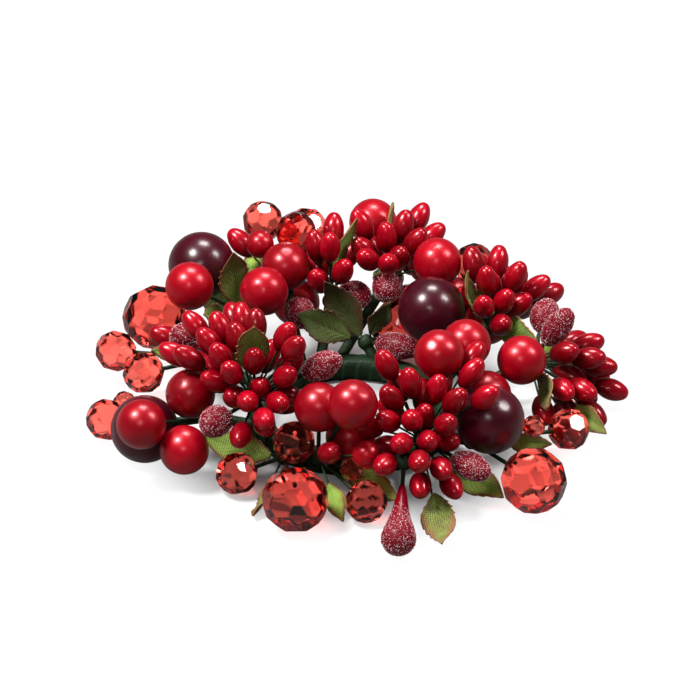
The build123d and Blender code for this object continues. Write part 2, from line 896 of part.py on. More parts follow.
def make_round_body(kind):
    """A berry, pip, bud or drop, turned from its profile."""
    flat_radius, flat_height = root_flat(kind)
    start = -math.acos(flat_radius / root_ball(kind))
    with BuildPart() as body:
        with BuildSketch(Plane.XZ):
            with BuildLine():
                Line((0, flat_height), (flat_radius, flat_height))
                if kind.root_diameter:
                    drop_side(kind, start)
                elif kind.end_share:
                    oval_side(kind, start)
                else:
                    ball_arc(kind.diameter / 2, 0, start, math.pi / 2)
                Line((0, kind.length / 2), (0, flat_height))
            make_face()
        revolve(axis=Axis.Z)
    return body


def facet_directions():
    """Directions of a bead's 12 pentagons, then of its 20 hexagons."""
    pentagon_sides = 5
    tilt = math.atan(2)
    pentagons = [np.array([0, 0, 1])]
    for number in range(pentagon_sides):
        angle = number * math.tau / pentagon_sides
        side = math.sin(tilt)
        pentagons.append(np.array([side * math.cos(angle), side * math.sin(angle), math.cos(tilt)]))
    pentagons += [-direction for direction in pentagons]
    hexagons = []
    for trio in combinations(pentagons, 3):
        cosines = [first @ second for first, second in combinations(trio, 2)]
        if min(cosines) > math.cos(tilt) - tiny:
            corner = trio[0] + trio[1] + trio[2]
            hexagons.append(corner / np.linalg.norm(corner))
    return pentagons, hexagons


def make_bead(kind):
    """A faceted bead with its wire hole, cut from a ball by flats."""
    corner = kind.diameter / 2
    pentagons, hexagons = facet_directions()
    flats = [(direction, pentagon_share * corner) for direction in pentagons]
    flats += [(direction, hexagon_share * corner) for direction in hexagons]
    with BuildPart() as bead:
        Box(2 * corner, 2 * corner, 2 * corner)
        for direction, distance in flats:
            flat = Plane(origin=tuple(distance * direction), z_dir=tuple(direction))
            split(bisect_by=flat, keep=Keep.BOTTOM)
        Hole(kind.stem_diameter / 2 + bead_hole_clearance)
    return bead


def leaf_outline(kind):
    """One side of a leaf's outline from root to tip: teeth that point to the tip."""
    points = [(leaf_half_width(kind, 0), -kind.length / 2)]
    depth = tooth_share * kind.diameter
    for tooth in range(tooth_count):
        notch = tooth / tooth_count
        peak = (tooth + tooth_peak_share) / tooth_count
        if tooth > 0:
            notch_width = leaf_half_width(kind, notch) - depth
            points.append((notch_width, (notch - 1 / 2) * kind.length))
        points.append((leaf_half_width(kind, peak), (peak - 1 / 2) * kind.length))
    points.append((0, kind.length / 2))
    return points


def make_leaf(kind):
    """A leaf of stiffened cloth: a toothed outline cut from a bowed sheet."""
    outline = leaf_outline(kind)
    mirrored = [(-across, along) for across, along in reversed(outline[:-1])]
    end_lift = leaf_lift(kind, 0)
    inner = leaf_bow_radius - leaf_thickness / 2
    outer = leaf_bow_radius + leaf_thickness / 2
    axis_drop = leaf_bow_radius - end_lift
    turn = math.asin((kind.length / 2 + cut_overrun) / leaf_bow_radius)
    with BuildPart() as leaf:
        with BuildSketch(Plane.XZ):
            with BuildLine():
                Polyline(*outline, *mirrored, close=True)
            make_face()
        extrude(amount=2 * end_lift + cut_overrun, both=True)
        with BuildSketch(Plane.YZ):
            with BuildLine():
                sheet = []
                for radius in (inner, outer):
                    side = radius * math.sin(turn)
                    height = radius * math.cos(turn) - axis_drop
                    ends = ((height, -side), (height, side))
                    sheet.append(ThreePointArc(ends[0], (radius - axis_drop, 0), ends[1]))
                Line(sheet[0] @ 0, sheet[1] @ 0)
                Line(sheet[0] @ 1, sheet[1] @ 1)
            make_face()
        extrude(amount=kind.diameter, both=True, mode=Mode.INTERSECT)
    return leaf


def make_template(name):
    """One piece of a kind, along +Z."""
    kind = kinds[name]
    if name in leaf_kinds:
        return make_leaf(kind)
    if name in bead_kinds:
        return make_bead(kind)
    return make_round_body(kind)


def stem_reach(kind_name):
    """How far past a piece's middle its stem ends: negative before it."""
    kind = kinds[kind_name]
    if kind_name in leaf_kinds:
        return -kind.length / 2
    if kind_name in bead_kinds:
        return pentagon_share * kind.length / 2 - bead_wire_inset
    return root_flat(kind)[1]


def band_profile():
    """The band's section, with its long edges rounded."""
    with BuildSketch(Plane.XZ) as section:
        with Locations((band_middle_radius, 0)):
            RectangleRounded(band_width, band_height, band_edge_radius)
    return section


def make_neck(reach):
    """A pick's neck along +Z, with the knot at its end, which is cut flat."""
    neck, knot, flat = neck_diameter / 2, knot_diameter / 2, knot_flat_diameter / 2
    knot_base = reach - math.sqrt(knot**2 - neck**2)
    flat_turn = math.acos(flat / knot)
    with BuildPart() as neck_and_knot:
        with BuildSketch(Plane.XZ):
            with BuildLine():
                Polyline((0, knot_base), (0, 0), (neck, 0), (neck, knot_base))
                ball_arc(knot, reach, -math.acos(neck / knot), flat_turn)
                flat_height = reach + knot * math.sin(flat_turn)
                Polyline((flat, flat_height), (0, flat_height), (0, knot_base))
            make_face()
        revolve(axis=Axis.Z)
    return neck_and_knot


def make_rod(start, end, radius):
    """A round wire between two points."""
    run = end - start
    length = np.linalg.norm(run)
    place = Plane(origin=tuple(start), z_dir=tuple(run / length)).location
    bottom = (Align.CENTER, Align.CENTER, Align.MIN)
    rod = Cylinder(radius, length, align=bottom, mode=Mode.PRIVATE)
    return rod.moved(place)


def export(shape, name):
    """Labels a finished shape, prints its volume and writes its file."""
    shape.label = name
    print(name, "solids", len(shape.solids()), "volume", round(shape.volume))
    export_step(shape, f"parts/{name}.step")


def make_ring():
    """The core wire, and the tape wound round it."""
    with BuildPart() as ring_wire:
        with BuildSketch(Plane.XZ):
            with Locations((band_middle_radius, 0)):
                Circle(core_wire_diameter / 2)
        revolve(axis=Axis.Z)
    export(ring_wire.part, "ring_wire")
    with BuildPart() as ring_tape:
        with BuildSketch(Plane.XZ):
            add(band_profile().sketch)
            with Locations((band_middle_radius, 0)):
                Circle(core_wire_diameter / 2 + wire_clearance, mode=Mode.SUBTRACT)
        revolve(axis=Axis.Z)
    export(ring_tape.part, "ring_tape")


def make_stems(settling):
    """Each pick's neck, the knot at its end, and the stems that spread from it."""
    with BuildPart() as band:
        Cylinder(bore_diameter / 2 + band_width, band_height)
    frames = frames_of(settling.centres, settling.hubs, settling.rolls)
    for number, name in enumerate(picks):
        hub = settling.pick_hubs[number]
        rods = []
        for index, piece in enumerate(settling.pieces):
            if piece.pick == name:
                axis = frames[index][2]
                start = hub + knot_start_share * knot_diameter / 2 * axis
                end = settling.centres[index] + stem_reach(piece.kind) * axis
                rods.append(make_rod(start, end, kinds[piece.kind].stem_diameter / 2))
        start = settling.neck_starts[number]
        reach = np.linalg.norm(hub - start)
        neck = make_neck(reach)
        with BuildPart() as stems:
            with Locations(Plane(origin=tuple(start), z_dir=tuple((hub - start) / reach)).location):
                add(neck.part)
            add(band.part, mode=Mode.SUBTRACT)
            add(rods)
        export(stems.part, f"{name}_stems")


def make_pieces(settling):
    """Every berry, bead, bud, pip and leaf, each its own solid in the node that holds it."""
    templates = {name: make_template(name).part.solid() for name in kinds}
    frames = frames_of(settling.centres, settling.hubs, settling.rolls)
    nodes = {}
    for index, piece in enumerate(settling.pieces):
        side, _, axis = frames[index]
        origin = settling.centres[index]
        plane = Plane(origin=tuple(origin), x_dir=tuple(side), z_dir=tuple(axis))
        solid = templates[piece.kind].moved(plane.location)
        nodes.setdefault(node_name(piece), []).append(solid)
    for node, solids in nodes.items():
        export(Compound(solids), node)


def node_name(piece):
    """The node that holds a piece: by its pick where that has several, else by its side."""
    side = piece.pick.split("_")[0]
    if piece.kind in leaf_kinds:
        side = "rear" if side == "inner" else side
        return f"{side}_leaves"
    if piece.kind == "pip":
        return f"{piece.pick}_pips" if piece.pick.endswith("_spray") else "single_pips"
    if piece.kind == "small_bead":
        return f"{side}_small_beads"
    names = {
        "berry": f"{piece.pick}_berries",
        "dark_berry": f"{piece.pick}_dark_berry",
        "large_bead": f"{piece.pick}_large_bead",
        "seed_bead": "seed_beads",
        "small_berry": "small_berries",
        "bud": "frosted_buds",
        "slim_bud": "slim_frosted_buds",
        "drop": "frosted_drop",
    }
    return names[piece.kind]


os.makedirs("parts", exist_ok=True)
settling = Settling(gather_pieces())
settling.run()
make_ring()
make_stems(settling)
make_pieces(settling)
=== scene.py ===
"""Dresses a candle ring: lacquered berries and pips, acrylic beads, sugared buds and cloth leaves."""

from __future__ import annotations

import logging
import math
from dataclasses import dataclass, field
from enum import Enum

import bmesh
import bpy
import numpy as np
from mathutils import Matrix, Vector


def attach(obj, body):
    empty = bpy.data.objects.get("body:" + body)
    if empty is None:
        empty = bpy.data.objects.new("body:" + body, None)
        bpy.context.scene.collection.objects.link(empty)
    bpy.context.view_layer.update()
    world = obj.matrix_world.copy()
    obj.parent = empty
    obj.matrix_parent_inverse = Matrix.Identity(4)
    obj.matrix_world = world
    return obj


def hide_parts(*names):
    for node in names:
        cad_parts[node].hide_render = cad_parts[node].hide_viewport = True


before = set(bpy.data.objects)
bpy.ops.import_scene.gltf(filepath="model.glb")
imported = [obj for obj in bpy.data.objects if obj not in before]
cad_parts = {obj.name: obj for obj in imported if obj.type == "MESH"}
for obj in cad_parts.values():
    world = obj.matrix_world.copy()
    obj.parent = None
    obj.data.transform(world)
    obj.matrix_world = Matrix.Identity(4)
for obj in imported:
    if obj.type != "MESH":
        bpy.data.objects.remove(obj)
LOG = logging.getLogger("candle_ring")
ROOT = "root"
MM = 0.001

Colour = tuple[float, float, float]
Profile = tuple[tuple[float, float], ...]
Node = bpy.types.Node
Socket = bpy.types.NodeSocket
Thing = bpy.types.Object


class Ending(Enum):
    """How the name of a frame node ends, which says what the node holds."""

    PIPS = "pips"
    BERRIES = "berries"
    DARK_BERRY = "dark_berry"
    BEAD = "bead"
    BEADS = "beads"
    LEAVES = "leaves"
    STEMS = "stems"


def nodes_with(*endings: Ending) -> list[str]:
    """Lists the frame nodes whose names have one of the endings.

    Args:
        endings: The endings to look for.

    Returns:
        The names, in order.
    """
    words = tuple("_" + ending.value for ending in endings)
    return sorted(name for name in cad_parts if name.endswith(words))


class Tree:
    """A node tree that is being built."""

    def __init__(self, tree: bpy.types.NodeTree) -> None:
        """Keeps the tree that nodes are added to.

        Args:
            tree: A shader or geometry tree.
        """
        self.tree = tree

    def add(self, kind: str, inputs: dict | None = None, **settings: object) -> Node:
        """Adds a node and fills its inputs.

        Args:
            kind: The node's type name.
            inputs: Values or output sockets, by the input's name or number.
            settings: Properties of the node itself.

        Returns:
            The new node.
        """
        node = self.tree.nodes.new(kind)
        for name, value in settings.items():
            setattr(node, name, value)
        self.fill(node, inputs or {})
        return node

    def fill(self, node: Node, inputs: dict) -> None:
        """Links sockets to a node's inputs, or sets the inputs' values.

        Args:
            node: The node that is filled.
            inputs: Values or output sockets, by the input's name or number.
        """
        for key, value in inputs.items():
            if isinstance(value, Socket):
                self.tree.links.new(value, node.inputs[key])
            else:
                node.inputs[key].default_value = value

    def sum(self, operation: str, *terms: object) -> Socket:
        """Adds a Math node.

        Args:
            operation: The node's operation, such as MULTIPLY.
            terms: One to three values or sockets.

        Returns:
            The result's socket.
        """
        return self.add("ShaderNodeMath", dict(enumerate(terms)), operation=operation).outputs[0]

    def product(self, first: object, *others: object) -> Socket:
        """Multiplies several values, one after another.

        Args:
            first: A value or socket.
            others: More values or sockets.

        Returns:
            The product's socket.
        """
        for other in others:
            first = self.sum("MULTIPLY", first, other)
        return first

    def ramp(
        self, value: Socket, low: float, high: float,
        first: float = 0.0, last: float = 1.0, way: str = "LINEAR",
    ) -> Socket:
        """Maps a value from one range to another, and keeps it within that.

        Args:
            value: The value's socket.
            low: Where the range starts.
            high: Where the range ends.
            first: What the start becomes.
            last: What the end becomes.
            way: How it runs between the two.

        Returns:
            The result's socket.
        """
        inputs = {0: value, 1: low, 2: high, 3: first, 4: last}
        return self.add("ShaderNodeMapRange", inputs, interpolation_type=way).outputs[0]

    def scaled(self, vector: Socket, factor: object) -> Socket:
        """Scales a vector or a colour.

        Args:
            vector: The vector's socket.
            factor: A value or socket.

        Returns:
            The result's socket.
        """
        inputs = {0: vector, "Scale": factor}
        return self.add("ShaderNodeVectorMath", inputs, operation="SCALE").outputs[0]

    def mix(self, factor: object, first: object, second: object) -> Socket:
        """Mixes two colours.

        Args:
            factor: The share of the second colour.
            first: A colour or a socket.
            second: A colour or a socket.

        Returns:
            The mixed colour's socket.
        """
        inputs = {0: factor}
        for key, colour in ((6, first), (7, second)):
            inputs[key] = (*colour, 1.0) if isinstance(colour, tuple) else colour
        return self.add("ShaderNodeMix", inputs, data_type="RGBA").outputs[2]

    def attribute(self, name: str) -> Socket:
        """Reads a number that the mesh keeps.

        Args:
            name: The attribute's name.

        Returns:
            The number's socket.
        """
        return self.add("ShaderNodeAttribute", attribute_name=name).outputs["Fac"]

    def noise(self, size: float, detail: float, where: Socket | None = None) -> Socket:
        """Adds a noise over object coordinates or a given place.

        Args:
            size: The size of its features.
            detail: Layers of finer noise.
            where: What to read in place of object coordinates.

        Returns:
            The noise value's socket.
        """
        where = where or self.add("ShaderNodeTexCoord").outputs["Object"]
        inputs = {"Vector": where, "Scale": 1 / size, "Detail": detail}
        return self.add("ShaderNodeTexNoise", inputs).outputs[0]

    def bump(self, height: Socket, depth: float) -> Socket:
        """Adds a bump.

        Args:
            height: The height's socket, from 0 to 1.
            depth: How deep a height of 1 is, in metres.

        Returns:
            The normal's socket.
        """
        inputs = {"Height": height, "Distance": depth, "Strength": 1.0}
        return self.add("ShaderNodeBump", inputs).outputs[0]


@dataclass(frozen=True)
class Finish:
    """A finish that becomes one material."""

    name: str
    slot: str

    def build(self) -> bpy.types.Material:
        """Makes the material.

        Returns:
            The new material.
        """
        material = bpy.data.materials.new(self.name)
        material.use_nodes = True
        tree = Tree(material.node_tree)
        tree.fill(material.node_tree.nodes["Principled BSDF"], self.inputs(tree))
        return material

    def inputs(self, tree: Tree) -> dict[str, object]:
        """Gives what the Principled shader's inputs are filled with.

        Args:
            tree: The material's tree.

        Returns:
            Values and sockets by the inputs' names.
        """
        raise NotImplementedError


@dataclass(frozen=True)
class Lacquer(Finish):
    """Pearly lacquer on a berry, with a soft glow under a hard clear coat."""

    colour: Colour
    shade: Colour
    roughness: float = 0.36
    coat: float = 0.7
    coat_roughness: float = 0.26
    coat_index: float = 1.36
    pearl: float = 0.3
    specular: float = 0.12
    root_shade: float = 0.0
    tone_share: float = 0.6
    mottle_size: float = 9 * MM
    mottle_share: float = 0.8
    speckle_size: float = 0.25 * MM
    speckle_share: float = 0.14
    ripple_size: float = 1.3 * MM
    ripple_depth: float = 0.02 * MM

    def inputs(self, tree: Tree) -> dict[str, object]:
        """Mottles the colour and ripples the coat.

        Args:
            tree: The material's tree.

        Returns:
            Values and sockets by the inputs' names.
        """
        tone = tree.sum("MULTIPLY_ADD", tree.attribute("tone"), self.tone_share, -self.tone_share / 2)
        blend = tree.sum("MULTIPLY_ADD", tree.noise(self.mottle_size, 3.0), self.mottle_share, tone)
        root = tree.sum("POWER", tree.sum("SUBTRACT", 1.0, tree.attribute("along")), 2.0)
        blend = tree.sum("MULTIPLY_ADD", root, self.root_shade, blend)
        speckle = tree.noise(self.speckle_size, 1.0)
        least = self.roughness - self.speckle_share / 2
        normal = tree.bump(tree.noise(self.ripple_size, 2.0), self.ripple_depth)
        return {
            "Base Color": tree.mix(blend, self.colour, self.shade),
            "Roughness": tree.sum("MULTIPLY_ADD", speckle, self.speckle_share, least),
            "Metallic": self.pearl,
            "Specular IOR Level": self.specular,
            "Coat Weight": self.coat,
            "Coat Roughness": self.coat_roughness,
            "Coat IOR": self.coat_index,
            "Normal": normal,
            "Coat Normal": normal,
        }


@dataclass(frozen=True)
class Acrylic(Finish):
    """Clear red moulded plastic, darker where light has further to go."""

    colour: Colour
    depth_colour: Colour
    density: float
    index: float = 1.59
    roughness: float = 0.02
    scuff_roughness: float = 0.1
    scuff_size: float = 2.2 * MM
    scuff_level: float = 0.66
    flow_size: float = 3.0 * MM
    flow_depth: float = 0.02 * MM

    def inputs(self, tree: Tree) -> dict[str, object]:
        """Makes a clear body with faint flow marks and a little wear.

        Args:
            tree: The material's tree.

        Returns:
            Values and sockets by the inputs' names.
        """
        body = {"Color": (*self.depth_colour, 1.0), "Density": self.density}
        depth = tree.add("ShaderNodeVolumeAbsorption", body).outputs[0]
        tree.fill(tree.tree.nodes["Material Output"], {"Volume": depth})
        worn = tree.sum("GREATER_THAN", tree.noise(self.scuff_size, 6.0), self.scuff_level)
        return {
            "Base Color": (*self.colour, 1.0),
            "Transmission Weight": 1.0,
            "IOR": self.index,
            "Roughness": tree.sum("MULTIPLY_ADD", worn, self.scuff_roughness, self.roughness),
            "Normal": tree.bump(tree.noise(self.flow_size, 1.0), self.flow_depth),
        }


@dataclass(frozen=True)
class BudSkin(Finish):
    """The wine-red skin under the sugar, dulled where fine sugar dust lies on it."""

    colour: Colour
    dust: Colour
    dust_size: float = 0.3 * MM
    dust_depth: float = 0.06 * MM
    cloud_size: float = 3.0 * MM
    cloud_share: float = 0.35
    bare_level: float = 0.73
    dusty_level: float = 0.88
    roughness: float = 0.18
    sugar_roughness: float = 0.3
    specular: float = 0.1
    sheen: float = 0.04
    sheen_roughness: float = 0.2
    sheen_tint: Colour = (1.0, 0.7, 0.76)
    coat: float = 0.1
    coat_roughness: float = 0.25

    def inputs(self, tree: Tree) -> dict[str, object]:
        """Spreads fine dust by the sugar attribute.

        Args:
            tree: The material's tree.

        Returns:
            Values and sockets by the inputs' names.
        """
        sugar = tree.attribute("sugar")
        grain = tree.noise(self.dust_size, 2.0)
        specks = tree.sum("MULTIPLY_ADD", tree.noise(self.cloud_size, 2.0), self.cloud_share, grain)
        dust = tree.product(tree.ramp(specks, self.bare_level, self.dusty_level), sugar)
        return {
            "Base Color": tree.mix(dust, self.colour, self.dust),
            "Roughness": tree.sum("MULTIPLY_ADD", sugar, self.sugar_roughness, self.roughness),
            "Specular IOR Level": self.specular,
            "Sheen Weight": self.sheen,
            "Sheen Roughness": self.sheen_roughness,
            "Sheen Tint": (*self.sheen_tint, 1.0),
            "Coat Weight": self.coat,
            "Coat Roughness": self.coat_roughness,
            "Normal": tree.bump(grain, self.dust_depth),
        }


@dataclass(frozen=True)
class Sugar(Finish):
    """Coarse grains that are stuck on the buds, some white and some stained."""

    colour: Colour
    stained: Colour
    white_share: float = 0.5
    roughness: float = 0.22
    index: float = 1.5

    def inputs(self, tree: Tree) -> dict[str, object]:
        """Tints the grains by the tone of each.

        Args:
            tree: The material's tree.

        Returns:
            Values and sockets by the inputs' names.
        """
        stained = tree.sum("GREATER_THAN", tree.attribute("tone"), self.white_share)
        tint = tree.mix(stained, self.colour, self.stained)
        return {"Base Color": tint, "Roughness": self.roughness, "IOR": self.index}


@dataclass(frozen=True)
class LeafCloth(Finish):
    """Woven green cloth, printed brown at its cut edge, with a painted shade that darkens the leaves near
    the ring's axis.
    """

    green: Colour
    olive: Colour
    edge: Colour
    threads: float = 100.0
    dark_thread: float = 0.35
    light_thread: float = 1.75
    weave_depth: float = 0.08 * MM
    ribs: float = 57.0
    rib_slant: float = 0.45
    rib_share: float = 0.1
    cloud_size: float = 2.4 * MM
    cloud_share: float = 0.9
    patch_size: float = 6.0 * MM
    patch_share: float = 1.3
    tip_power: float = 6.0
    tip_share: float = 0.5
    green_level: float = 0.95
    brown_level: float = 1.45
    roughness: float = 0.62
    specular: float = 0.2
    sheen: float = 0.05

    def inputs(self, tree: Tree) -> dict[str, object]:
        """Paints the leaf by its own map: across it is U and along it is V.

        Args:
            tree: The material's tree.

        Returns:
            Values and sockets by the inputs' names.
        """
        leaf = tree.add("ShaderNodeUVMap", uv_map="leaf").outputs[0]
        parts = tree.add("ShaderNodeSeparateXYZ", {0: leaf}).outputs
        across, along = parts[0], parts[1]
        tone = tree.sum("SUBTRACT", tree.attribute("tone"), 0.5)
        blend = tree.sum("MULTIPLY_ADD", tree.noise(self.cloud_size, 3.0), self.cloud_share, tone)
        body = tree.mix(blend, self.green, self.olive)
        off = tree.sum("MULTIPLY", tree.sum("ABSOLUTE", tree.sum("SUBTRACT", across, 0.5)), 2.0)
        patch = tree.noise(self.patch_size, 2.0)
        reach = tree.sum("MULTIPLY_ADD", patch, self.patch_share, tree.product(off, off))
        tip = tree.product(tree.sum("POWER", along, self.tip_power), self.tip_share)
        burnt = tree.ramp(tree.sum("ADD", reach, tip), self.green_level, self.brown_level)
        slant = tree.sum("MULTIPLY_ADD", off, -self.rib_slant, along)
        rib = tree.sum("SINE", tree.product(slant, self.ribs))
        warp = tree.product(along, self.threads)
        rising, falling = (
            tree.sum("SINE", tree.sum("MULTIPLY_ADD", across, slope, warp))
            for slope in (self.threads / 2, -self.threads / 2)
        )
        ribbed = tree.sum("MULTIPLY_ADD", rib, self.rib_share, 0.5)
        weave = tree.sum("MULTIPLY_ADD", tree.product(rising, falling), 0.5, ribbed)
        shade = tree.ramp(weave, 0.0, 1.0, self.dark_thread, self.light_thread)
        # Painted shade: the colour is scaled by what the leaf carries, darker near the ring's axis.
        shade = tree.product(shade, tree.attribute("outward"))
        return {
            "Base Color": tree.scaled(tree.mix(burnt, body, self.edge), shade),
            "Roughness": self.roughness,
            "Specular IOR Level": self.specular,
            "Sheen Weight": self.sheen,
            "Normal": tree.bump(weave, self.weave_depth),
        }


@dataclass(frozen=True)
class CrepeTape(Finish):
    """Waxed dark green floral tape, crinkled across its length."""

    colour: Colour
    light: Colour
    crinkle_size: float = 0.5 * MM
    crinkle_depth: float = 0.2 * MM
    crinkle_share: float = 0.7
    cloud_size: float = 5.0 * MM
    cloud_share: float = 0.8
    dark_share: float = 0.45
    roughness: float = 0.4
    crinkle_roughness: float = 0.3
    specular: float = 0.2

    def inputs(self, tree: Tree) -> dict[str, object]:
        """Crinkles the tape.

        Args:
            tree: The material's tree.

        Returns:
            Values and sockets by the inputs' names.
        """
        crinkle = tree.noise(self.crinkle_size, 4.0)
        cloud = tree.noise(self.cloud_size, 2.0)
        cloud = tree.sum("MULTIPLY_ADD", cloud, self.cloud_share, -self.dark_share)
        blend = tree.sum("MULTIPLY_ADD", crinkle, self.crinkle_share, cloud)
        return {
            "Base Color": tree.mix(blend, self.colour, self.light),
            "Roughness": tree.sum("MULTIPLY_ADD", crinkle, self.crinkle_roughness, self.roughness),
            "Specular IOR Level": self.specular,
            "Normal": tree.bump(crinkle, self.crinkle_depth),
        }


@dataclass(frozen=True)
class BareWire(Finish):
    """Drawn steel wire with faint rust."""

    steel: Colour = (0.55, 0.54, 0.52)
    rust: Colour = (0.3, 0.2, 0.14)
    stain_size: float = 2.0 * MM
    roughness: float = 0.2
    rust_roughness: float = 0.4

    def inputs(self, tree: Tree) -> dict[str, object]:
        """Stains the wire.

        Args:
            tree: The material's tree.

        Returns:
            Values and sockets by the inputs' names.
        """
        stain = tree.noise(self.stain_size, 5.0)
        return {
            "Base Color": tree.mix(stain, self.steel, self.rust),
            "Roughness": tree.sum("MULTIPLY_ADD", stain, self.rust_roughness, self.roughness),
            "Metallic": 1.0,
        }


RED_LACQUER = Lacquer("red_pearl_lacquer", "red_lacquer", (0.36, 0.0, 0.008), (0.11, 0.0, 0.002))
PIP_LACQUER = Lacquer(
    "pip_lacquer", "pip_lacquer", (0.36, 0.0, 0.009), (0.1, 0.0, 0.002),
    roughness=0.33, coat=0.65, coat_roughness=0.15, pearl=0.2, root_shade=0.8,
    ripple_size=0.8 * MM, mottle_size=5 * MM,
)
DARK_LACQUER = Lacquer(
    "wine_lacquer", "dark_lacquer", (0.06, 0.001, 0.007), (0.012, 0.0, 0.002),
    roughness=0.34, coat=0.8, coat_roughness=0.22, pearl=0.1, specular=0.15, ripple_depth=0.012 * MM,
)
RED_ACRYLIC = Acrylic("red_acrylic", "red_acrylic", (1.0, 0.22, 0.165), (0.97, 0.03, 0.025), density=55.0)
BUD_SKIN = BudSkin("bud_skin", "frosted_red", (0.11, 0.0, 0.004), (0.17, 0.006, 0.016))
SUGAR = Sugar("sugar_grains", "frosted_red", (0.95, 0.86, 0.89), (0.3, 0.015, 0.035))
LEAF_CLOTH = LeafCloth(
    "leaf_cloth", "leaf_cloth",
    green=(0.19, 0.31, 0.045), olive=(0.1, 0.1, 0.022), edge=(0.15, 0.065, 0.022),
)
GREEN_TAPE = CrepeTape("floral_tape", "floral_tape", (0.004, 0.013, 0.005), (0.014, 0.036, 0.012))
STEM_PAPER = CrepeTape("stem_paper", "taped_stems", (0.004, 0.013, 0.004), (0.016, 0.036, 0.01))
CORE_WIRE = BareWire("core_wire", "core_wire")


class Finishes:
    """Makes each material once."""

    made: dict[str, bpy.types.Material] = {}

    @classmethod
    def get(cls, finish: Finish) -> bpy.types.Material:
        """Gives a finish's material.

        Args:
            finish: The finish that is wanted.

        Returns:
            Its material, made at the first call.
        """
        if finish.name not in cls.made:
            cls.made[finish.name] = finish.build()
        return cls.made[finish.name]


@dataclass(frozen=True)
class Place:
    """Where one solid of a frame node stands: its middle, and its axis from root to tip."""

    middle: np.ndarray
    axis: np.ndarray
    normal: np.ndarray | None = None


class Solids:
    """The separate solids of one frame node."""

    def __init__(self, node: str) -> None:
        """Merges the node's loose triangles and parts its solids.

        Args:
            node: The node's name.
        """
        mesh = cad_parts[node].data
        places = np.empty(len(mesh.vertices) * 3)
        mesh.vertices.foreach_get("co", places)
        places = places.reshape(-1, 3)
        corners = np.empty(len(mesh.loops), dtype=int)
        mesh.loops.foreach_get("vertex_index", corners)
        rounded = np.round(places / (0.002 * MM)).astype(int)
        _, first, merged = np.unique(rounded, axis=0, return_index=True, return_inverse=True)
        self.points = places[first]
        self.triangles = merged.reshape(-1)[corners].reshape(-1, 3)
        self.labels = self.label()

    def label(self) -> np.ndarray:
        """Numbers each triangle by the solid that it belongs to.

        Returns:
            One number for each triangle.
        """
        marks = np.arange(len(self.points))
        while True:
            lowest = marks[self.triangles].min(axis=1)
            new = marks.copy()
            for corner in range(3):
                np.minimum.at(new, self.triangles[:, corner], lowest)
            new = new[new]
            if (new == marks).all():
                return marks[self.triangles[:, 0]]
            marks = new

    def each(self) -> list[np.ndarray]:
        """Gives each solid's triangles as rows of three corners.

        Returns:
            One array for each solid.
        """
        return [self.points[self.triangles[self.labels == mark]] for mark in np.unique(self.labels)]


def spread_of(triangles: np.ndarray) -> tuple[np.ndarray, np.ndarray]:
    """Finds the middle of a surface and its main directions.

    Args:
        triangles: Rows of three corners.

    Returns:
        The middle, and three directions as rows, from the longest spread to the shortest.
    """
    sides = np.cross(triangles[:, 1] - triangles[:, 0], triangles[:, 2] - triangles[:, 0])
    areas = np.sqrt((sides * sides).sum(axis=1))
    centres = triangles.mean(axis=1)
    middle = (centres * areas[:, None]).sum(axis=0) / areas.sum()
    offsets = centres - middle
    _, directions = np.linalg.eigh((offsets * areas[:, None]).T @ offsets)
    return middle, directions.T[::-1]


def ball_place(triangles: np.ndarray) -> Place:
    """Finds a ball's middle, and its axis from the small flat at its root.

    Args:
        triangles: The ball's triangles.

    Returns:
        The ball's place.
    """
    corners = triangles.reshape(-1, 3)
    matrix = np.column_stack([2 * corners, np.ones(len(corners))])
    middle = np.linalg.lstsq(matrix, (corners * corners).sum(axis=1), rcond=None)[0][:3]
    centres = triangles.mean(axis=1) - middle
    axis = -centres[np.argmin((centres * centres).sum(axis=1))]
    return Place(middle, axis / np.linalg.norm(axis))


def long_place(triangles: np.ndarray) -> Place:
    """Finds the middle and axis of a pip, bud or drop, whose root is its end with a flat.

    Args:
        triangles: The solid's triangles.

    Returns:
        The solid's place.
    """
    middle, directions = spread_of(triangles)
    axis = directions[0]
    corners = triangles.reshape(-1, 3) - middle
    along = corners @ axis
    beside = np.sqrt(np.maximum((corners * corners).sum(axis=1) - along * along, 0))
    near = 0.02 * MM
    low_width = beside[along < along.min() + near].max()
    high_width = beside[along > along.max() - near].max()
    if low_width < high_width:
        axis, along = -axis, -along
    return Place(middle + axis * (along.min() + along.max()) / 2, axis)


def leaf_place(triangles: np.ndarray) -> Place:
    """Finds a leaf's middle between its ends, its axis to the tip and the way that it bows.

    Args:
        triangles: The leaf's triangles.

    Returns:
        The leaf's place.
    """
    middle, (axis, side, normal) = spread_of(triangles)
    corners = triangles.reshape(-1, 3) - middle
    along = corners @ axis
    near = 0.04 * (along.max() - along.min())
    root, tip = corners[along < along.min() + near], corners[along > along.max() - near]
    if np.ptp(root @ side) < np.ptp(tip @ side):
        root, tip = tip, root
    root, tip = root.mean(axis=0), tip.mean(axis=0)
    axis = (tip - root) / np.linalg.norm(tip - root)
    chord = (tip + root) / 2
    normal = normal - (normal @ axis) * axis
    normal = normal / np.linalg.norm(normal)
    if (corners - chord).mean(axis=0) @ normal < 0:
        normal = -normal
    return Place(middle + chord, axis, normal)


def new_object(name: str, data: bpy.types.ID) -> Thing:
    """Links a new object to the scene.

    Args:
        name: The object's name.
        data: Its mesh, lamp or camera.

    Returns:
        The object.
    """
    made = bpy.data.objects.new(name, data)
    bpy.context.scene.collection.objects.link(made)
    return made


def mesh_of(shape: bmesh.types.BMesh, name: str) -> bpy.types.Mesh:
    """Turns a shape into a mesh, and frees the shape.

    Args:
        shape: The shape.
        name: The mesh's name.

    Returns:
        The mesh.
    """
    mesh = bpy.data.meshes.new(name)
    shape.to_mesh(mesh)
    shape.free()
    return mesh


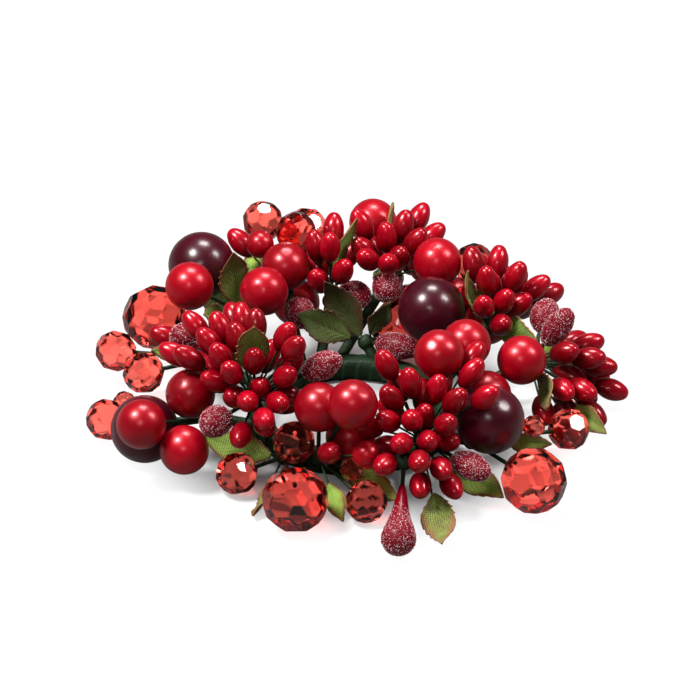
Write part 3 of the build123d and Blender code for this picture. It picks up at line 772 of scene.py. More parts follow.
def new_piece(mesh: bpy.types.Mesh, finish: Finish) -> Thing:
    """Makes a mesh into a piece with a finish.

    Args:
        mesh: The mesh, which gives the piece its name.
        finish: The piece's finish.

    Returns:
        The piece.
    """
    mesh.materials.append(Finishes.get(finish))
    return new_object(mesh.name, mesh)


def thicken(piece: Thing, thickness: float, offset: float) -> None:
    """Gives a sheet its thickness.

    Args:
        piece: The sheet.
        thickness: How thick it becomes.
        offset: Where the sheet lies in it: 0 in the middle, -1 at its outer face.
    """
    solidify = piece.modifiers.new("thickness", "SOLIDIFY")
    solidify.thickness = thickness
    solidify.offset = offset


def keep_result(piece: Thing) -> None:
    """Keeps what a piece's modifiers make as its mesh, and takes them off.

    Args:
        piece: The piece that is changed.
    """
    graph = bpy.context.evaluated_depsgraph_get()
    done = piece.evaluated_get(graph)
    made = bpy.data.meshes.new_from_object(done, preserve_all_data_layers=True, depsgraph=graph)
    piece.modifiers.clear()
    piece.data = made


def finish_piece(piece: Thing, node: str, smooth: bool = True) -> None:
    """Makes a piece ride on the ring in place of a frame node, with its modifiers applied.

    Args:
        piece: The finished piece.
        node: The frame node that it stands for.
        smooth: Whether its faces are shaded smoothly.
    """
    if piece.modifiers:
        keep_result(piece)
    if smooth:
        piece.data.shade_smooth()
    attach(piece, ROOT)
    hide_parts(node)
    triangles = sum(len(face.vertices) - 2 for face in piece.data.polygons)
    LOG.info("%s stands for %s with %d triangles", piece.name, node, triangles)


@dataclass(frozen=True)
class Turning:
    """A body turned from a profile: radii and heights from the root to the tip."""

    name: str
    profile: Profile
    sides: int = 32
    sugar_from: float = 0.0
    sugar_ramp: float = 0.3

    def build(self) -> Thing:
        """Turns the profile into a closed body with its place along the axis kept.

        Returns:
            An object that is kept out of the scene and serves as a pattern.
        """
        shape = bmesh.new()
        along = shape.verts.layers.float.new("along")
        sugar = shape.verts.layers.float.new("sugar")
        low, high = self.profile[0][1], self.profile[-1][1]
        rings = []
        for radius, height in self.profile:
            share = (height - low) / (high - low)
            count = self.sides if radius > 0 else 1
            ring = []
            for number in range(count):
                turn = math.tau * number / count
                vert = shape.verts.new((radius * math.cos(turn), radius * math.sin(turn), height))
                vert[along] = share
                vert[sugar] = min(max((share - self.sugar_from) / self.sugar_ramp, 0.0), 1.0)
                ring.append(vert)
            rings.append(ring)
        for lower, upper in zip(rings, rings[1:]):
            for number in range(self.sides):
                pair = (number, (number + 1) % self.sides)
                below = [lower[place % len(lower)] for place in pair]
                above = [upper[place % len(upper)] for place in reversed(pair)]
                shape.faces.new(list(dict.fromkeys(below + above)))
        bmesh.ops.recalc_face_normals(shape, faces=shape.faces)
        return bpy.data.objects.new(self.name, mesh_of(shape, self.name))


def ball_profile(radius: float, rings: int, dimple: float) -> Profile:
    """Gives a berry's profile, with a dimple round its wire and a small one at its tip.

    Args:
        radius: The berry's radius.
        rings: How many rings the profile has.
        dimple: How deep the root's dimple is.

    Returns:
        Radii and heights.
    """
    dimple_radius = 0.13 * radius
    tip_share = 0.25
    rows = []
    for number in range(rings + 1):
        turn = math.pi * (number / rings - 1 / 2)
        reach, height = radius * math.cos(turn), radius * math.sin(turn)
        depth = dimple * math.exp(-((reach / dimple_radius) ** 2))
        if number in (0, rings):
            reach = 0.0
        share = 1.0 if height < 0 else tip_share
        rows.append((reach, height - math.copysign(depth * share, height)))
    return tuple(rows)


@dataclass(frozen=True)
class Oval:
    """An oval whose blunt ends are joined by one long belly arc."""

    length: float
    width: float
    end_share: float

    def radius(self, height: float) -> float:
        """Gives the oval's radius.

        Args:
            height: The height over the oval's middle.

        Returns:
            The radius there.
        """
        wide = self.width / 2
        end = self.end_share * wide
        middle = self.length / 2 - end
        belly = (middle**2 / (wide - end) + wide + end) / 2
        join = middle * (1 + end / math.hypot(middle, belly - wide))
        if abs(height) < join:
            return math.sqrt(belly**2 - height**2) - (belly - wide)
        return math.sqrt(max(end**2 - (abs(height) - middle) ** 2, 0.0))


@dataclass(frozen=True)
class Teardrop:
    """A drop: a round end drawn out to a thin neck."""

    length: float
    width: float
    neck: float
    hollow_share: float = 0.13

    def radius(self, height: float) -> float:
        """Gives the drop's radius.

        Args:
            height: The height over the drop's middle.

        Returns:
            The radius there.
        """
        tip, root = self.width / 2, self.neck / 2
        top, bottom = self.length / 2 - tip, root - self.length / 2
        lean = math.asin((tip - root) / (top - bottom))
        high, low = top - tip * math.sin(lean), bottom - root * math.sin(lean)
        if height > high:
            return math.sqrt(max(tip**2 - (height - top) ** 2, 0.0))
        if height < low:
            return math.sqrt(max(root**2 - (height - bottom) ** 2, 0.0))
        share = (height - low) / (high - low)
        cone = (root + share * (tip - root)) * math.cos(lean)
        return cone * (1 - self.hollow_share * math.sin(math.pi * share) ** 2)


def profile_of(shape: Oval | Teardrop, rings: int) -> Profile:
    """Samples a shape's profile, closer together at its ends.

    Args:
        shape: The shape.
        rings: How many rings the profile has.

    Returns:
        Radii and heights from the root to the tip.
    """
    rows = []
    for number in range(rings + 1):
        height = -shape.length / 2 * math.cos(math.pi * number / rings)
        inside = 0 < number < rings
        rows.append((shape.radius(height) if inside else 0.0, height))
    return tuple(rows)


class PieceTree:
    """A Geometry Nodes tree that sets copies of a pattern, with its sizes as named inputs."""

    title: str
    sizes: tuple[str, ...]

    def __init__(self) -> None:
        """Builds the tree once."""
        self.group = bpy.data.node_groups.new(self.title, "GeometryNodeTree")
        kinds = {"Geometry": "Geometry", "Pattern": "Object", **dict.fromkeys(self.sizes, "Float")}
        for name, kind in {**kinds, "Seed": "Int", "Finish": "Material"}.items():
            self.group.interface.new_socket(name, in_out="INPUT", socket_type=f"NodeSocket{kind}")
        self.group.interface.new_socket("Geometry", in_out="OUTPUT", socket_type="NodeSocketGeometry")
        self.tree = Tree(self.group)
        self.given = self.tree.add("NodeGroupInput").outputs
        self.tree.add("NodeGroupOutput", {0: self.wire()})

    def wire(self) -> Socket:
        """Lays the nodes between the tree's inputs and its output.

        Returns:
            The finished geometry's socket.
        """
        raise NotImplementedError

    def random(self, low: object, high: object) -> Socket:
        """Draws a number for each point.

        Args:
            low: The lowest value.
            high: The highest value.

        Returns:
            The number's socket.
        """
        inputs = {2: low, 3: high, "Seed": self.given["Seed"]}
        return self.tree.add("FunctionNodeRandomValue", inputs).outputs[1]

    def moved(self, geometry: Socket, way: Socket, distance: object) -> Socket:
        """Moves points along a direction.

        Args:
            geometry: The points or the body.
            way: The direction's socket.
            distance: How far they are moved.

        Returns:
            The moved geometry's socket.
        """
        inputs = {"Geometry": geometry, "Offset": self.tree.scaled(way, distance)}
        return self.tree.add("GeometryNodeSetPosition", inputs).outputs[0]

    def copies(self, points: Socket, rotation: Socket, least: object) -> Socket:
        """Sets a copy of the pattern on each point, with a size and a tone of its own.

        Args:
            points: The points.
            rotation: Each copy's rotation.
            least: The least size of a copy, where 1 is the pattern's.

        Returns:
            The copies as plain geometry.
        """
        tone = {"Geometry": points, "Name": "tone", "Value": self.random(0.0, 1.0)}
        pattern = self.tree.add("GeometryNodeObjectInfo", {0: self.given["Pattern"]})
        inputs = {
            "Points": self.tree.add("GeometryNodeStoreNamedAttribute", tone).outputs[0],
            "Instance": pattern.outputs["Geometry"],
            "Rotation": rotation,
            "Scale": self.random(least, 1.0),
        }
        placed = self.tree.add("GeometryNodeInstanceOnPoints", inputs).outputs[0]
        return self.tree.add("GeometryNodeRealizeInstances", {0: placed}).outputs[0]

    def dressed(self, geometry: Socket) -> Socket:
        """Gives geometry the tree's finish.

        Args:
            geometry: The geometry's socket.

        Returns:
            The socket of the geometry with its material.
        """
        inputs = {"Geometry": geometry, "Material": self.given["Finish"]}
        return self.tree.add("GeometryNodeSetMaterial", inputs).outputs[0]

    def apply(self, piece: Thing, finish: Finish, **values: object) -> None:
        """Runs the tree on a piece and keeps the result as its mesh.

        Args:
            piece: The piece that is changed.
            finish: The finish of what is set on it.
            values: Values for the other named inputs, in small letters and with low lines.
        """
        values["finish"] = Finishes.get(finish)
        modifier = piece.modifiers.new(self.title, "NODES")
        modifier.node_group = self.group
        for item in self.group.interface.items_tree:
            key = item.name.lower().replace(" ", "_")
            if key in values:
                modifier[item.identifier] = values[key]
        keep_result(piece)


class Scatter(PieceTree):
    """Sets a pattern piece at every marked point, rolled and dented at random."""

    title: str = "set_pieces"
    sizes: tuple[str, ...] = ("Size spread", "Dent depth", "Dent size")

    def wire(self) -> Socket:
        """Aims each copy along its point's axis and dents it.

        Returns:
            The pieces' socket.
        """
        tree, given = self.tree, self.given
        axis = tree.add("GeometryNodeInputNamedAttribute", {0: "axis"}, data_type="FLOAT_VECTOR").outputs[0]
        aim = tree.add("FunctionNodeAlignRotationToVector", {"Vector": axis}, axis="Z").outputs[0]
        roll = {0: (0, 0, 1), 1: self.random(0.0, math.tau)}
        roll = tree.add("FunctionNodeAxisAngleToRotation", roll).outputs[0]
        turn = tree.add("FunctionNodeRotateRotation", {0: aim, 1: roll}, rotation_space="LOCAL").outputs[0]
        points = tree.add("GeometryNodeMeshToPoints", {0: given["Geometry"]}).outputs[0]
        real = self.copies(points, turn, tree.sum("SUBTRACT", 1.0, given["Size spread"]))
        inputs = {
            "Vector": tree.add("GeometryNodeInputPosition").outputs[0],
            "Scale": tree.sum("DIVIDE", 1.0, given["Dent size"]),
            "Detail": 1.0,
        }
        depth = tree.product(tree.add("ShaderNodeTexNoise", inputs).outputs[0], given["Dent depth"], -1.0)
        return self.dressed(self.moved(real, tree.add("GeometryNodeInputNormal").outputs[0], depth))

    def run(self, name: str, places: list[Place], pattern: Thing, finish: Finish, **values: object) -> Thing:
        """Sets a pattern at each place.

        Args:
            name: The new piece's name.
            places: The places that it is set at.
            pattern: The pattern piece, along +Z.
            finish: The pieces' finish.
            values: Values for the other named inputs.

        Returns:
            The piece as a plain mesh.
        """
        mesh = bpy.data.meshes.new(name)
        mesh.from_pydata([tuple(place.middle) for place in places], [], [])
        axes = mesh.attributes.new("axis", "FLOAT_VECTOR", "POINT")
        axes.data.foreach_set("vector", np.array([place.axis for place in places]).ravel())
        piece = new_object(name, mesh)
        self.apply(piece, finish, pattern=pattern, **values)
        return piece


class Sprinkle(PieceTree):
    """Sticks sugar grains on a body, thick and thin by clumps."""

    title: str = "sprinkle_sugar"
    sizes: tuple[str, ...] = ("Grains per square metre",)
    clump_size: float = 2.2 * MM
    clump_share: float = 2.4
    clump_least: float = -0.5
    lift: float = 0.06 * MM
    least_grain: float = 0.4
    most_turn: float = 6.0

    def wire(self) -> Socket:
        """Spreads the grains by the sugar attribute and keeps the body.

        Returns:
            The socket of the body with its grains.
        """
        tree, given = self.tree, self.given
        body = given["Geometry"]
        sugar = tree.add("GeometryNodeInputNamedAttribute", {0: "sugar"}, data_type="FLOAT").outputs[0]
        where = tree.add("GeometryNodeInputPosition").outputs[0]
        clump = tree.noise(self.clump_size, 1.0, where)
        clump = tree.sum("MULTIPLY_ADD", clump, self.clump_share, self.clump_least)
        density = tree.product(clump, sugar, given["Grains per square metre"])
        inputs = {"Mesh": body, "Density": density, "Seed": given["Seed"]}
        points, normal, _ = tree.add("GeometryNodeDistributePointsOnFaces", inputs).outputs
        spin = {0: (0, 0, 0), 1: (self.most_turn,) * 3}
        spin = tree.add("FunctionNodeRandomValue", spin, data_type="FLOAT_VECTOR").outputs[0]
        spin = tree.add("FunctionNodeEulerToRotation", {0: spin}).outputs[0]
        grains = self.copies(self.moved(points, normal, self.lift), spin, self.least_grain)
        both = tree.add("GeometryNodeJoinGeometry")
        for part in (body, self.dressed(grains)):
            tree.fill(both, {0: part})
        return both.outputs[0]


@dataclass
class Berries:
    """The round berries: red, small red and dark."""

    scatter: Scatter
    rings: int = 26
    sides: int = 44
    red_radius: float = 6.0 * MM
    small_radius: float = 3.5 * MM
    dark_radius: float = 8.25 * MM
    dimple: float = 0.55 * MM
    size_spread: float = 0.008
    dent_depth: float = 0.16 * MM
    dent_size: float = 7.0 * MM

    def build(self) -> None:
        """Sets a turned berry at each of the frame's."""
        for node in nodes_with(Ending.BERRIES, Ending.DARK_BERRY):
            finish, radius = RED_LACQUER, self.red_radius
            if node.endswith(Ending.DARK_BERRY.value):
                finish, radius = DARK_LACQUER, self.dark_radius
            elif node.startswith("small"):
                radius = self.small_radius
            profile = ball_profile(radius, self.rings, self.dimple)
            pattern = Turning(f"{node}_pattern", profile, self.sides).build()
            places = [ball_place(solid) for solid in Solids(node).each()]
            piece = self.scatter.run(
                f"{node}_lacquered", places, pattern, finish, size_spread=self.size_spread,
                dent_depth=self.dent_depth, dent_size=self.dent_size, seed=len(node),
            )
            finish_piece(piece, node)


@dataclass
class Pips:
    """The sprays of small oval pips."""

    scatter: Scatter
    shape: Oval = Oval(9.2 * MM, 5.7 * MM, 0.7)
    rings: int = 16
    sides: int = 20
    size_spread: float = 0.05
    dent_depth: float = 0.22 * MM
    dent_size: float = 2.6 * MM

    def build(self) -> None:
        """Sets a turned pip at each of the frame's."""
        pattern = Turning("pip_pattern", profile_of(self.shape, self.rings), self.sides).build()
        for node in nodes_with(Ending.PIPS):
            places = [long_place(solid) for solid in Solids(node).each()]
            piece = self.scatter.run(
                f"{node}_lacquered", places, pattern, PIP_LACQUER, size_spread=self.size_spread,
                dent_depth=self.dent_depth, dent_size=self.dent_size, seed=len(node),
            )
            finish_piece(piece, node)


@dataclass
class Buds:
    """The sugared buds and the long drop, which is sugared at its lower end."""

    scatter: Scatter
    sprinkle: Sprinkle
    grain_radius: float = 0.135 * MM
    density: float = 9.5e6
    rings: int = 30
    sides: int = 28
    bare_drop_share: float = 0.3
    size_spread: float = 0.04
    dent_depth: float = 0.3 * MM
    dent_size: float = 3.0 * MM
    shapes: dict[str, Oval | Teardrop] = field(
        default_factory=lambda: {
            "frosted_buds": Oval(9.8 * MM, 7.8 * MM, 0.8),
            "slim_frosted_buds": Oval(12.0 * MM, 6.8 * MM, 0.7),
            "frosted_drop": Teardrop(19.5 * MM, 8.6 * MM, 1.8 * MM),
        }
    )

    def grain(self) -> Thing:
        """Makes the sugar grain's pattern: a lopsided crystal of eight faces.

        Returns:
            The pattern.
        """
        shape = bmesh.new()
        for number in range(6):
            corner = Vector((0.0, 0.0, 0.0))
            corner[number % 3] = math.copysign(self.grain_radius, number - 2.5)
            shape.verts.new(corner * (0.8 + 0.1 * number))
        bmesh.ops.convex_hull(shape, input=shape.verts)
        return bpy.data.objects.new("sugar_grain", mesh_of(shape, "sugar_grain"))

    def build(self) -> None:
        """Sets the bodies and sprinkles them."""
        grain = self.grain()
        for number, (node, form) in enumerate(self.shapes.items()):
            bare = self.bare_drop_share if isinstance(form, Teardrop) else -1.0
            profile = profile_of(form, self.rings)
            pattern = Turning(f"{node}_pattern", profile, self.sides, bare).build()
            places = [long_place(solid) for solid in Solids(node).each()]
            piece = self.scatter.run(
                f"{node}_sugared", places, pattern, BUD_SKIN, size_spread=self.size_spread,
                dent_depth=self.dent_depth, dent_size=self.dent_size, seed=number + 3,
            )
            piece.data.shade_smooth()
            self.sprinkle.apply(
                piece, SUGAR, pattern=grain, grains_per_square_metre=self.density, seed=number + 11
            )
            finish_piece(piece, node, smooth=False)


@dataclass
class Beads:
    """The faceted acrylic beads, moulded on their wires, with their edges just broken."""

    edge: float = 0.11 * MM
    flat_angle: float = math.radians(1)
    facet_angle: float = math.radians(15)

    def build(self) -> None:
        """Breaks the edges of each bead node's facets."""
        for node in nodes_with(Ending.BEAD, Ending.BEADS):
            shape = bmesh.new()
            for solid in Solids(node).each():
                verts = [shape.verts.new(corner) for corner in np.unique(solid.reshape(-1, 3), axis=0)]
                hull = bmesh.ops.convex_hull(shape, input=verts)
                spare = {item for item in hull["geom_interior"] if isinstance(item, bmesh.types.BMVert)}
                bmesh.ops.delete(shape, geom=list(spare), context="VERTS")
            bmesh.ops.dissolve_limit(
                shape, angle_limit=self.flat_angle, verts=shape.verts, edges=shape.edges
            )
            sharp = []
            for edge in shape.edges:
                if len(edge.link_faces) == 2 and edge.calc_face_angle() > self.facet_angle:
                    sharp.append(edge)
            bmesh.ops.bevel(
                shape, geom=sharp, offset=self.edge, segments=2, affect="EDGES", clamp_overlap=True
            )
            piece = new_piece(mesh_of(shape, f"{node}_polished"), RED_ACRYLIC)
            finish_piece(piece, node, smooth=False)


@dataclass
class Leaves:
    """The toothed cloth leaves, ribbed and waved, darker near the ring's axis by a painted shade."""

    long_size: tuple[float, float] = (17.0 * MM, 8.6 * MM)
    small_size: tuple[float, float] = (11.0 * MM, 5.6 * MM)
    # The next three set a painted shade: leaves whose middles lie close to the ring's axis are darkened, as
    # if in the ring's shadow, down to a least share, and leaves beyond the outer radius keep their colour.
    dark_radius: float = 24.0 * MM
    painted_shade_outer_radius: float = 29.0 * MM
    darkest_painted_shade: float = 0.3
    thickness: float = 0.28 * MM
    bow_radius: float = 21.0 * MM
    teeth: int = 9
    rows_per_tooth: int = 8
    columns: int = 9
    tooth_share: float = 0.18
    ragged_least: float = 0.7
    ragged_share: float = 0.6
    ragged_pace: float = 7.3
    peak_share: float = 0.42
    root_share: float = 0.16
    fold: float = 0.8 * MM
    rib: float = 0.1 * MM
    rib_slant: float = 0.28
    midrib_share: float = 0.1
    wave: float = 0.5 * MM
    wave_step: float = 1.7
    tone_step: float = 0.37

    def half_width(self, share: float, width: float) -> float:
        """Gives half the leaf's width without its teeth.

        Args:
            share: The place along the leaf, from its root.
            width: The leaf's width.

        Returns:
            Half the width there.
        """
        if share < self.peak_share:
            swell = math.sin(math.pi / 2 * share / self.peak_share)
        else:
            swell = math.cos(math.pi / 2 * (share - self.peak_share) / (1 - self.peak_share))
        root = self.root_share * (1 - share)
        return width / 2 * (root + (1 - root) * max(swell, 0.0))

    def point(self, row: float, column: float, length: float, width: float, wave: float) -> Vector:
        """Gives one point of the leaf's middle sheet.

        Args:
            row: The place along the leaf, from 0 at its root to 1 at its tip.
            column: The place across it, from -1 to 1.
            length: The leaf's length.
            width: Its width.
            wave: The phase of its edge's wave.

        Returns:
            The point, with X across, Y out of the face and Z along.
        """
        tooth = (row * self.teeth) % 1.0
        phase = self.ragged_pace * int(row * self.teeth) + 3 * wave + column
        ragged = self.ragged_least + self.ragged_share * math.sin(phase)
        cut = 1 - self.tooth_share * ragged * (1 - tooth) * min(1.0, 6 * row)
        half = self.half_width(row, width) * (1 + (cut - 1) * abs(column) ** 6)
        along = (row - 1 / 2) * length
        bow = math.sqrt(self.bow_radius**2 - along**2)
        bow -= math.sqrt(self.bow_radius**2 - (length / 2) ** 2)
        slant = row - self.rib_slant * abs(column)
        rib = self.rib * math.cos(math.tau * slant * self.teeth)
        rib += 2 * self.rib * math.exp(-((column / self.midrib_share) ** 2))
        fold = self.fold * abs(column) * math.sin(math.pi * row)
        edge_wave = self.wave * column**2 * math.sin(9 * row + wave)
        return Vector((half * column, bow - fold + rib * (1 - row) + edge_wave, along))

    def add(self, shape: bmesh.types.BMesh, place: Place, long: bool, number: int) -> None:
        """Adds one leaf to a shape.

        Args:
            shape: The shape that the leaf joins.
            place: Where the leaf lies.
            long: Whether it is one of the long leaves.
            number: The leaf's number, which varies its wave and tone.
        """
        length, width = self.long_size if long else self.small_size
        leaf_map = shape.loops.layers.uv["leaf"]
        tone = shape.verts.layers.float["tone"]
        outward = shape.verts.layers.float["outward"]
        # Painted shade: a leaf whose middle lies near the ring's axis is darkened.
        reach = math.hypot(place.middle[0], place.middle[1]) - self.dark_radius
        light = min(max(reach / (self.painted_shade_outer_radius - self.dark_radius), self.darkest_painted_shade), 1.0)
        side = np.cross(place.normal, place.axis)
        turn = Matrix(np.column_stack([side, place.normal, place.axis]).tolist())
        rows, across = self.teeth * self.rows_per_tooth, 2 * self.columns
        wave = number * self.wave_step
        grid = []
        for row in range(rows + 1):
            line = []
            for column in range(-self.columns, self.columns + 1):
                spot = self.point(row / rows, column / self.columns, length, width, wave)
                vert = shape.verts.new(turn @ spot + Vector(place.middle))
                vert[tone] = (number * self.tone_step) % 1.0
                vert[outward] = light
                line.append(vert)
            grid.append(line)
        for row in range(rows):
            for column in range(across):
                corners = ((row, column), (row, column + 1), (row + 1, column + 1), (row + 1, column))
                face = shape.faces.new([grid[step][place_across] for step, place_across in corners])
                for loop, (step, place_across) in zip(face.loops, corners):
                    loop[leaf_map].uv = (place_across / across, step / rows)

    def build(self) -> None:
        """Makes each leaf node's leaves."""
        for node in nodes_with(Ending.LEAVES):
            shape = bmesh.new()
            shape.loops.layers.uv.new("leaf")
            shape.verts.layers.float.new("tone")
            # Each vertex carries its leaf's tone and its painted shade.
            shape.verts.layers.float.new("outward")
            for number, solid in enumerate(Solids(node).each()):
                place = leaf_place(solid)
                reach = np.ptp((solid.reshape(-1, 3) - place.middle) @ place.axis)
                middle = (self.long_size[0] + self.small_size[0]) / 2
                self.add(shape, place, reach > middle, number + len(node))
            bmesh.ops.remove_doubles(shape, verts=shape.verts, dist=0.001 * MM)
            piece = new_piece(mesh_of(shape, f"{node}_cloth"), LEAF_CLOTH)
            thicken(piece, self.thickness, 0.0)
            finish_piece(piece, node)


@dataclass
class TapedRing:
    """The band: one long strip of floral tape that is wound round and round the core."""

    middle_radius: float = 22.5 * MM
    width: float = 5.0 * MM
    height: float = 6.0 * MM
    corner: float = 1.1 * MM
    squareness: float = 0.35
    turns: int = 38
    steps: int = 36
    strip_columns: int = 6
    strip_overlap: float = 1.75
    tape_thickness: float = 0.2 * MM
    lap_share: float = 1.05
    pucker: float = 0.05 * MM
    pucker_pace: float = 5.1

    def section(self, share: float) -> tuple[float, float, float, float]:
        """Gives a place on the band's section and the way out of it there.

        Args:
            share: How far round the section, in turns.

        Returns:
            The place across and up, and the direction across and up.
        """
        turn = math.tau * share
        wide, high = self.width / 2 - self.corner, self.height / 2 - self.corner
        out = (math.cos(turn), math.sin(turn))
        across = math.copysign(abs(out[0]) ** self.squareness, out[0]) * wide
        up = math.copysign(abs(out[1]) ** self.squareness, out[1]) * high
        return across, up, out[0], out[1]

    def build(self) -> None:
        """Winds the strip and gives it its thickness."""
        shape = bmesh.new()
        grid = []
        for number in range((self.turns + 1) * self.steps + 1):
            wound = number / self.steps
            across, up, out_across, out_up = self.section(wound)
            line = []
            for column in range(self.strip_columns + 1):
                share = column / self.strip_columns
                angle = math.tau * (wound + share * self.strip_overlap) / self.turns
                lift = self.corner - self.tape_thickness * (self.lap_share - share)
                lift += self.pucker * math.sin(self.pucker_pace * number) * share
                radius = self.middle_radius + across + out_across * lift
                place = (radius * math.cos(angle), radius * math.sin(angle), up + out_up * lift)
                line.append(shape.verts.new(place))
            grid.append(line)
        for before, after in zip(grid, grid[1:]):
            for column in range(self.strip_columns):
                shape.faces.new((before[column], before[column + 1], after[column + 1], after[column]))
        bmesh.ops.recalc_face_normals(shape, faces=shape.faces)
        piece = new_piece(mesh_of(shape, "ring_tape_wound"), GREEN_TAPE)
        thicken(piece, self.tape_thickness, -1.0)
        finish_piece(piece, "ring_tape")


def bead_balls() -> list[tuple[np.ndarray, float]]:
    """Lists the ball that each bead is cut from.

    Returns:
        The balls' middles and radii.
    """
    balls = []
    for node in nodes_with(Ending.BEAD, Ending.BEADS):
        for solid in Solids(node).each():
            corners = np.unique(solid.reshape(-1, 3), axis=0)
            middle = corners.mean(axis=0)
            balls.append((middle, float(np.sqrt(((corners - middle) ** 2).sum(axis=1)).max())))
    return balls


@dataclass
class Stems:
    """The taped necks, knots and wires, whose ends stop a little way inside their beads."""

    inside_share: float = 0.98
    wire_end_share: float = 0.66
    sharp_angle: float = math.radians(40)

    def build(self) -> None:
        """Makes each stem node's piece, and gives the core wire its finish."""
        balls = bead_balls()
        for node in nodes_with(Ending.STEMS):
            solids = Solids(node)
            points = solids.points
            for middle, radius in balls:
                inside = ((points - middle) ** 2).sum(axis=1) < (self.inside_share * radius) ** 2
                if not inside.any():
                    continue
                tip = points[inside].mean(axis=0) - middle
                axis = tip / np.linalg.norm(tip)
                along = (points[inside] - middle) @ axis
                points[inside] -= np.outer(along + self.wire_end_share * radius, axis)
            mesh = bpy.data.meshes.new(f"{node}_taped")
            mesh.from_pydata(points.tolist(), [], solids.triangles.tolist())
            finish_piece(new_piece(mesh, STEM_PAPER), node)
            mesh.set_sharp_from_angle(angle=self.sharp_angle)
        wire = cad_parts["ring_wire"].data
        wire.materials.clear()
        wire.materials.append(Finishes.get(CORE_WIRE))


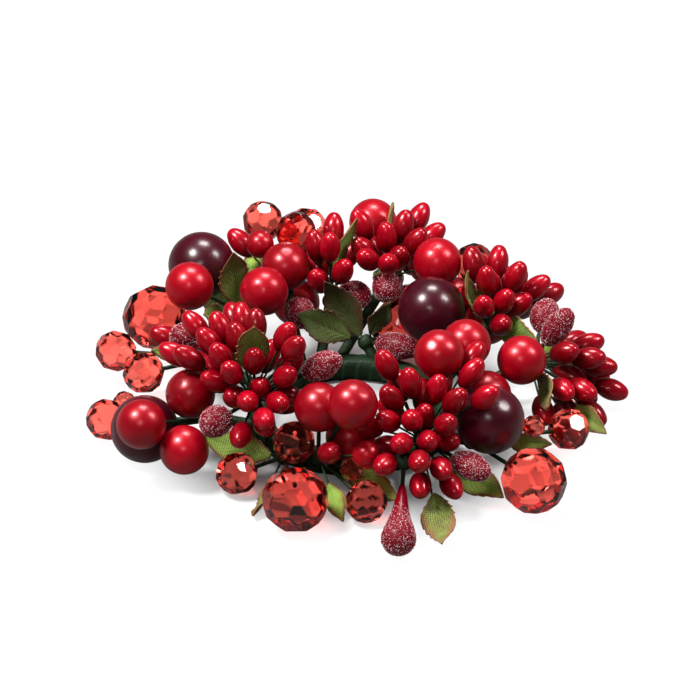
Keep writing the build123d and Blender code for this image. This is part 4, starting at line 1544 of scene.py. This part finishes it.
@dataclass
class Studio:
    """A white table, soft light and the camera."""

    floor_radius: float = 3.0
    floor_height: float = -3.0 * MM
    view_elevation: float = math.radians(30)
    pixel: float = 127.0 / 530 * MM
    frame_pixels: int = 700
    axis_x_pixel: float = 352
    axis_y_pixel: float = 425
    paper: Colour = (0.9, 0.9, 0.9)
    bounced_paper: Colour = (0.2, 0.2, 0.2)
    mirrored_paper: Colour = (0.08, 0.08, 0.08)
    plain_share: float = 0.95
    mirrored_share: float = 0.1
    # Painted light that only rays through the beads see: a brighter glow, broken into cells.
    backlight_share: float = 0.5
    patch_size: float = 11.0 * MM
    glow_patch_range: tuple[float, float] = (0.2, 0.7)
    patch_share: float = 0.25
    # Painted shade far off, for rays through the beads: the glow and the paper fade between these radii.
    near_radius: float = 85.0 * MM
    far_radius: float = 140.0 * MM
    far_share: float = 0.12
    # Under the ring the glow gives way to the lit paper; the paper's colour there is darkened too, a painted
    # shadow, down to the last share below.
    shaded_radius: float = 32.0 * MM
    clear_radius: float = 57.0 * MM
    shaded_share: float = 0.05
    shaded_through: float = 0.25
    painted_shadow_share: float = 0.32
    gloss_share: float = 0.3
    band_height: float = 0.4
    dim_band: tuple[float, float] = (0.18, 0.07)
    gloss_band: tuple[float, float] = (0.24, 0.08)
    lens: float = 320.0
    sensor: float = 36.0

    def build(self) -> None:
        """Sets the stage."""
        self.floor()
        self.world()
        self.lamps()
        self.camera()
        bpy.context.scene.view_settings.view_transform = "Standard"

    def floor(self) -> None:
        """Lays a round white floor."""
        shape = bmesh.new()
        bmesh.ops.create_circle(shape, cap_ends=True, segments=96, radius=self.floor_radius)
        mesh = mesh_of(shape, "floor")
        mesh.transform(Matrix.Translation((0, 0, self.floor_height)))
        material = bpy.data.materials.new("white_table")
        material.use_nodes = True
        self.paint(Tree(material.node_tree), material.node_tree.nodes)
        mesh.materials.append(material)
        new_object("floor", mesh)

    def paint(self, tree: Tree, nodes: bpy.types.Nodes) -> None:
        """Paints the floor white where the camera sees it, and darker under the ring, a painted shadow; rays
        through the beads see painted patches of glow.

        Args:
            tree: The floor material's tree.
            nodes: The nodes that it starts with.
        """
        path = tree.add("ShaderNodeLightPath").outputs
        glossy, through = path["Is Glossy Ray"], path["Is Transmission Ray"]
        tint = tree.mix(path["Is Diffuse Ray"], self.paper, self.bounced_paper)
        tint = tree.mix(glossy, tint, self.mirrored_paper)
        where = tree.add("ShaderNodeTexCoord").outputs["Object"]
        reach = tree.add("ShaderNodeVectorMath", {0: where}, operation="LENGTH").outputs["Value"]
        # Under the ring the glow gives way to the lit paper, so that its real shadow shows.
        clear = tree.ramp(
            reach, self.shaded_radius, self.clear_radius, self.shaded_share, way="SMOOTHSTEP"
        )
        # For rays through the beads the glow fades far from the ring, a painted shade, and breaks into cells
        # of painted light, which the beads show as bright and dim facets.
        near = tree.ramp(
            reach, self.near_radius, self.far_radius, 1.0, self.far_share, way="SMOOTHSTEP"
        )
        cells = {"Vector": where, "Scale": 1 / self.patch_size}
        cells = tree.add("ShaderNodeTexVoronoi", cells).outputs["Color"]
        cell = tree.add("ShaderNodeSeparateXYZ", {0: cells}).outputs[0]
        patch = tree.ramp(cell, *self.glow_patch_range, self.patch_share)
        # Painted shadow on the glow that the beads see under the ring.
        open_share = tree.sum("MULTIPLY_ADD", clear, 1 - self.shaded_through, self.shaded_through)
        backlight = tree.product(through, open_share, near, patch)
        seen = tree.product(path["Is Camera Ray"], self.plain_share)
        seen = tree.sum("MULTIPLY_ADD", glossy, self.mirrored_share, seen)
        share = tree.sum("MULTIPLY_ADD", seen, clear, backlight)
        # Painted shadow: the paper's colour is darkened under the ring, and far off for rays through the
        # beads.
        kept = tree.sum("MULTIPLY_ADD", clear, 1 - self.painted_shadow_share, self.painted_shadow_share)
        far = tree.product(through, tree.sum("SUBTRACT", 1.0, near))
        kept = tree.product(kept, tree.sum("SUBTRACT", 1.0, far))
        # Painted light: the floor glows brighter to rays through the beads.
        bright = tree.sum("MULTIPLY_ADD", through, self.backlight_share, 1.0)
        glow = tree.add("ShaderNodeEmission", {0: (1, 1, 1, 1), 1: bright})
        surface = nodes["Principled BSDF"]
        base = {"Base Color": tree.scaled(tint, kept), "Roughness": 0.6, "Specular IOR Level": 0.1}
        tree.fill(surface, base)
        both = {0: share, 1: surface.outputs[0], 2: glow.outputs[0]}
        both = tree.add("ShaderNodeMixShader", both).outputs[0]
        tree.fill(nodes["Material Output"], {0: both})

    def world(self) -> None:
        """Makes the world white to the camera, and a dim studio to everything else."""
        world = bpy.data.worlds.new("studio")
        bpy.context.scene.world = world
        world.use_nodes = True
        tree = Tree(world.node_tree)
        path = tree.add("ShaderNodeLightPath").outputs
        way = tree.add("ShaderNodeTexCoord").outputs["Generated"]
        height = tree.add("ShaderNodeSeparateXYZ", {0: way}).outputs[2]
        low = tree.ramp(height, 0.0, self.band_height, *self.dim_band)
        band = tree.ramp(height, 0.0, self.band_height, *self.gloss_band)
        through = path["Is Transmission Ray"]
        shiny = tree.sum("MULTIPLY_ADD", path["Is Glossy Ray"], self.gloss_share, through)
        strength = tree.sum("MAXIMUM", tree.product(shiny, band), low)
        strength = tree.sum("MAXIMUM", path["Is Camera Ray"], strength)
        tree.fill(world.node_tree.nodes["Background"], {0: (1, 1, 1, 1), "Strength": strength})

    def lamps(self) -> None:
        """Hangs soft boxes round the ring."""
        boxes = {
            "left_box": ((-0.34, -0.1, 0.62), 0.2, 0.17, 9.5),
            "top_box": ((0.04, 0.28, 0.7), 0.26, 0.17, 5.6),
            "right_box": ((0.46, -0.02, 0.5), 0.14, 0.2, 3.4),
            "front_box": ((-0.08, -0.58, 0.46), 0.17, 0.13, 0.8),
        }
        for name, (place, width, height, power) in boxes.items():
            light = bpy.data.lights.new(name, "AREA")
            light.shape = "RECTANGLE"
            light.size, light.size_y = width, height
            light.energy = power
            lamp = new_object(name, light)
            lamp.location = place
            lamp.rotation_euler = (-Vector(place)).to_track_quat("-Z", "Y").to_euler()

    def camera(self) -> None:
        """Sets the camera at the picture's angle and framing."""
        sine, cosine = math.sin(self.view_elevation), math.cos(self.view_elevation)
        toward = Vector((0, -cosine, sine))
        half = self.frame_pixels / 2
        aim = Vector((0, 0, self.floor_height))
        aim += Vector((1, 0, 0)) * (half - self.axis_x_pixel) * self.pixel
        aim += Vector((0, sine, cosine)) * (self.axis_y_pixel - half) * self.pixel
        distance = half * self.pixel * self.lens / (self.sensor / 2)
        data = bpy.data.cameras.new("camera")
        data.lens, data.sensor_width = self.lens, self.sensor
        data.clip_start, data.clip_end = 0.01, 20.0
        camera = new_object("camera", data)
        camera.location = aim + toward * distance
        camera.rotation_euler = (-toward).to_track_quat("-Z", "Y").to_euler()
        bpy.context.scene.camera = camera


def main() -> None:
    """Builds every piece of the ring, and the studio round it."""
    logging.basicConfig(level=logging.INFO, format="%(name)s: %(message)s")
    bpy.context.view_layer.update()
    scatter = Scatter()
    Berries(scatter).build()
    Pips(scatter).build()
    Buds(scatter, Sprinkle()).build()
    Beads().build()
    Leaves().build()
    TapedRing().build()
    Stems().build()
    Studio().build()


if __name__ == "__main__":
    main()
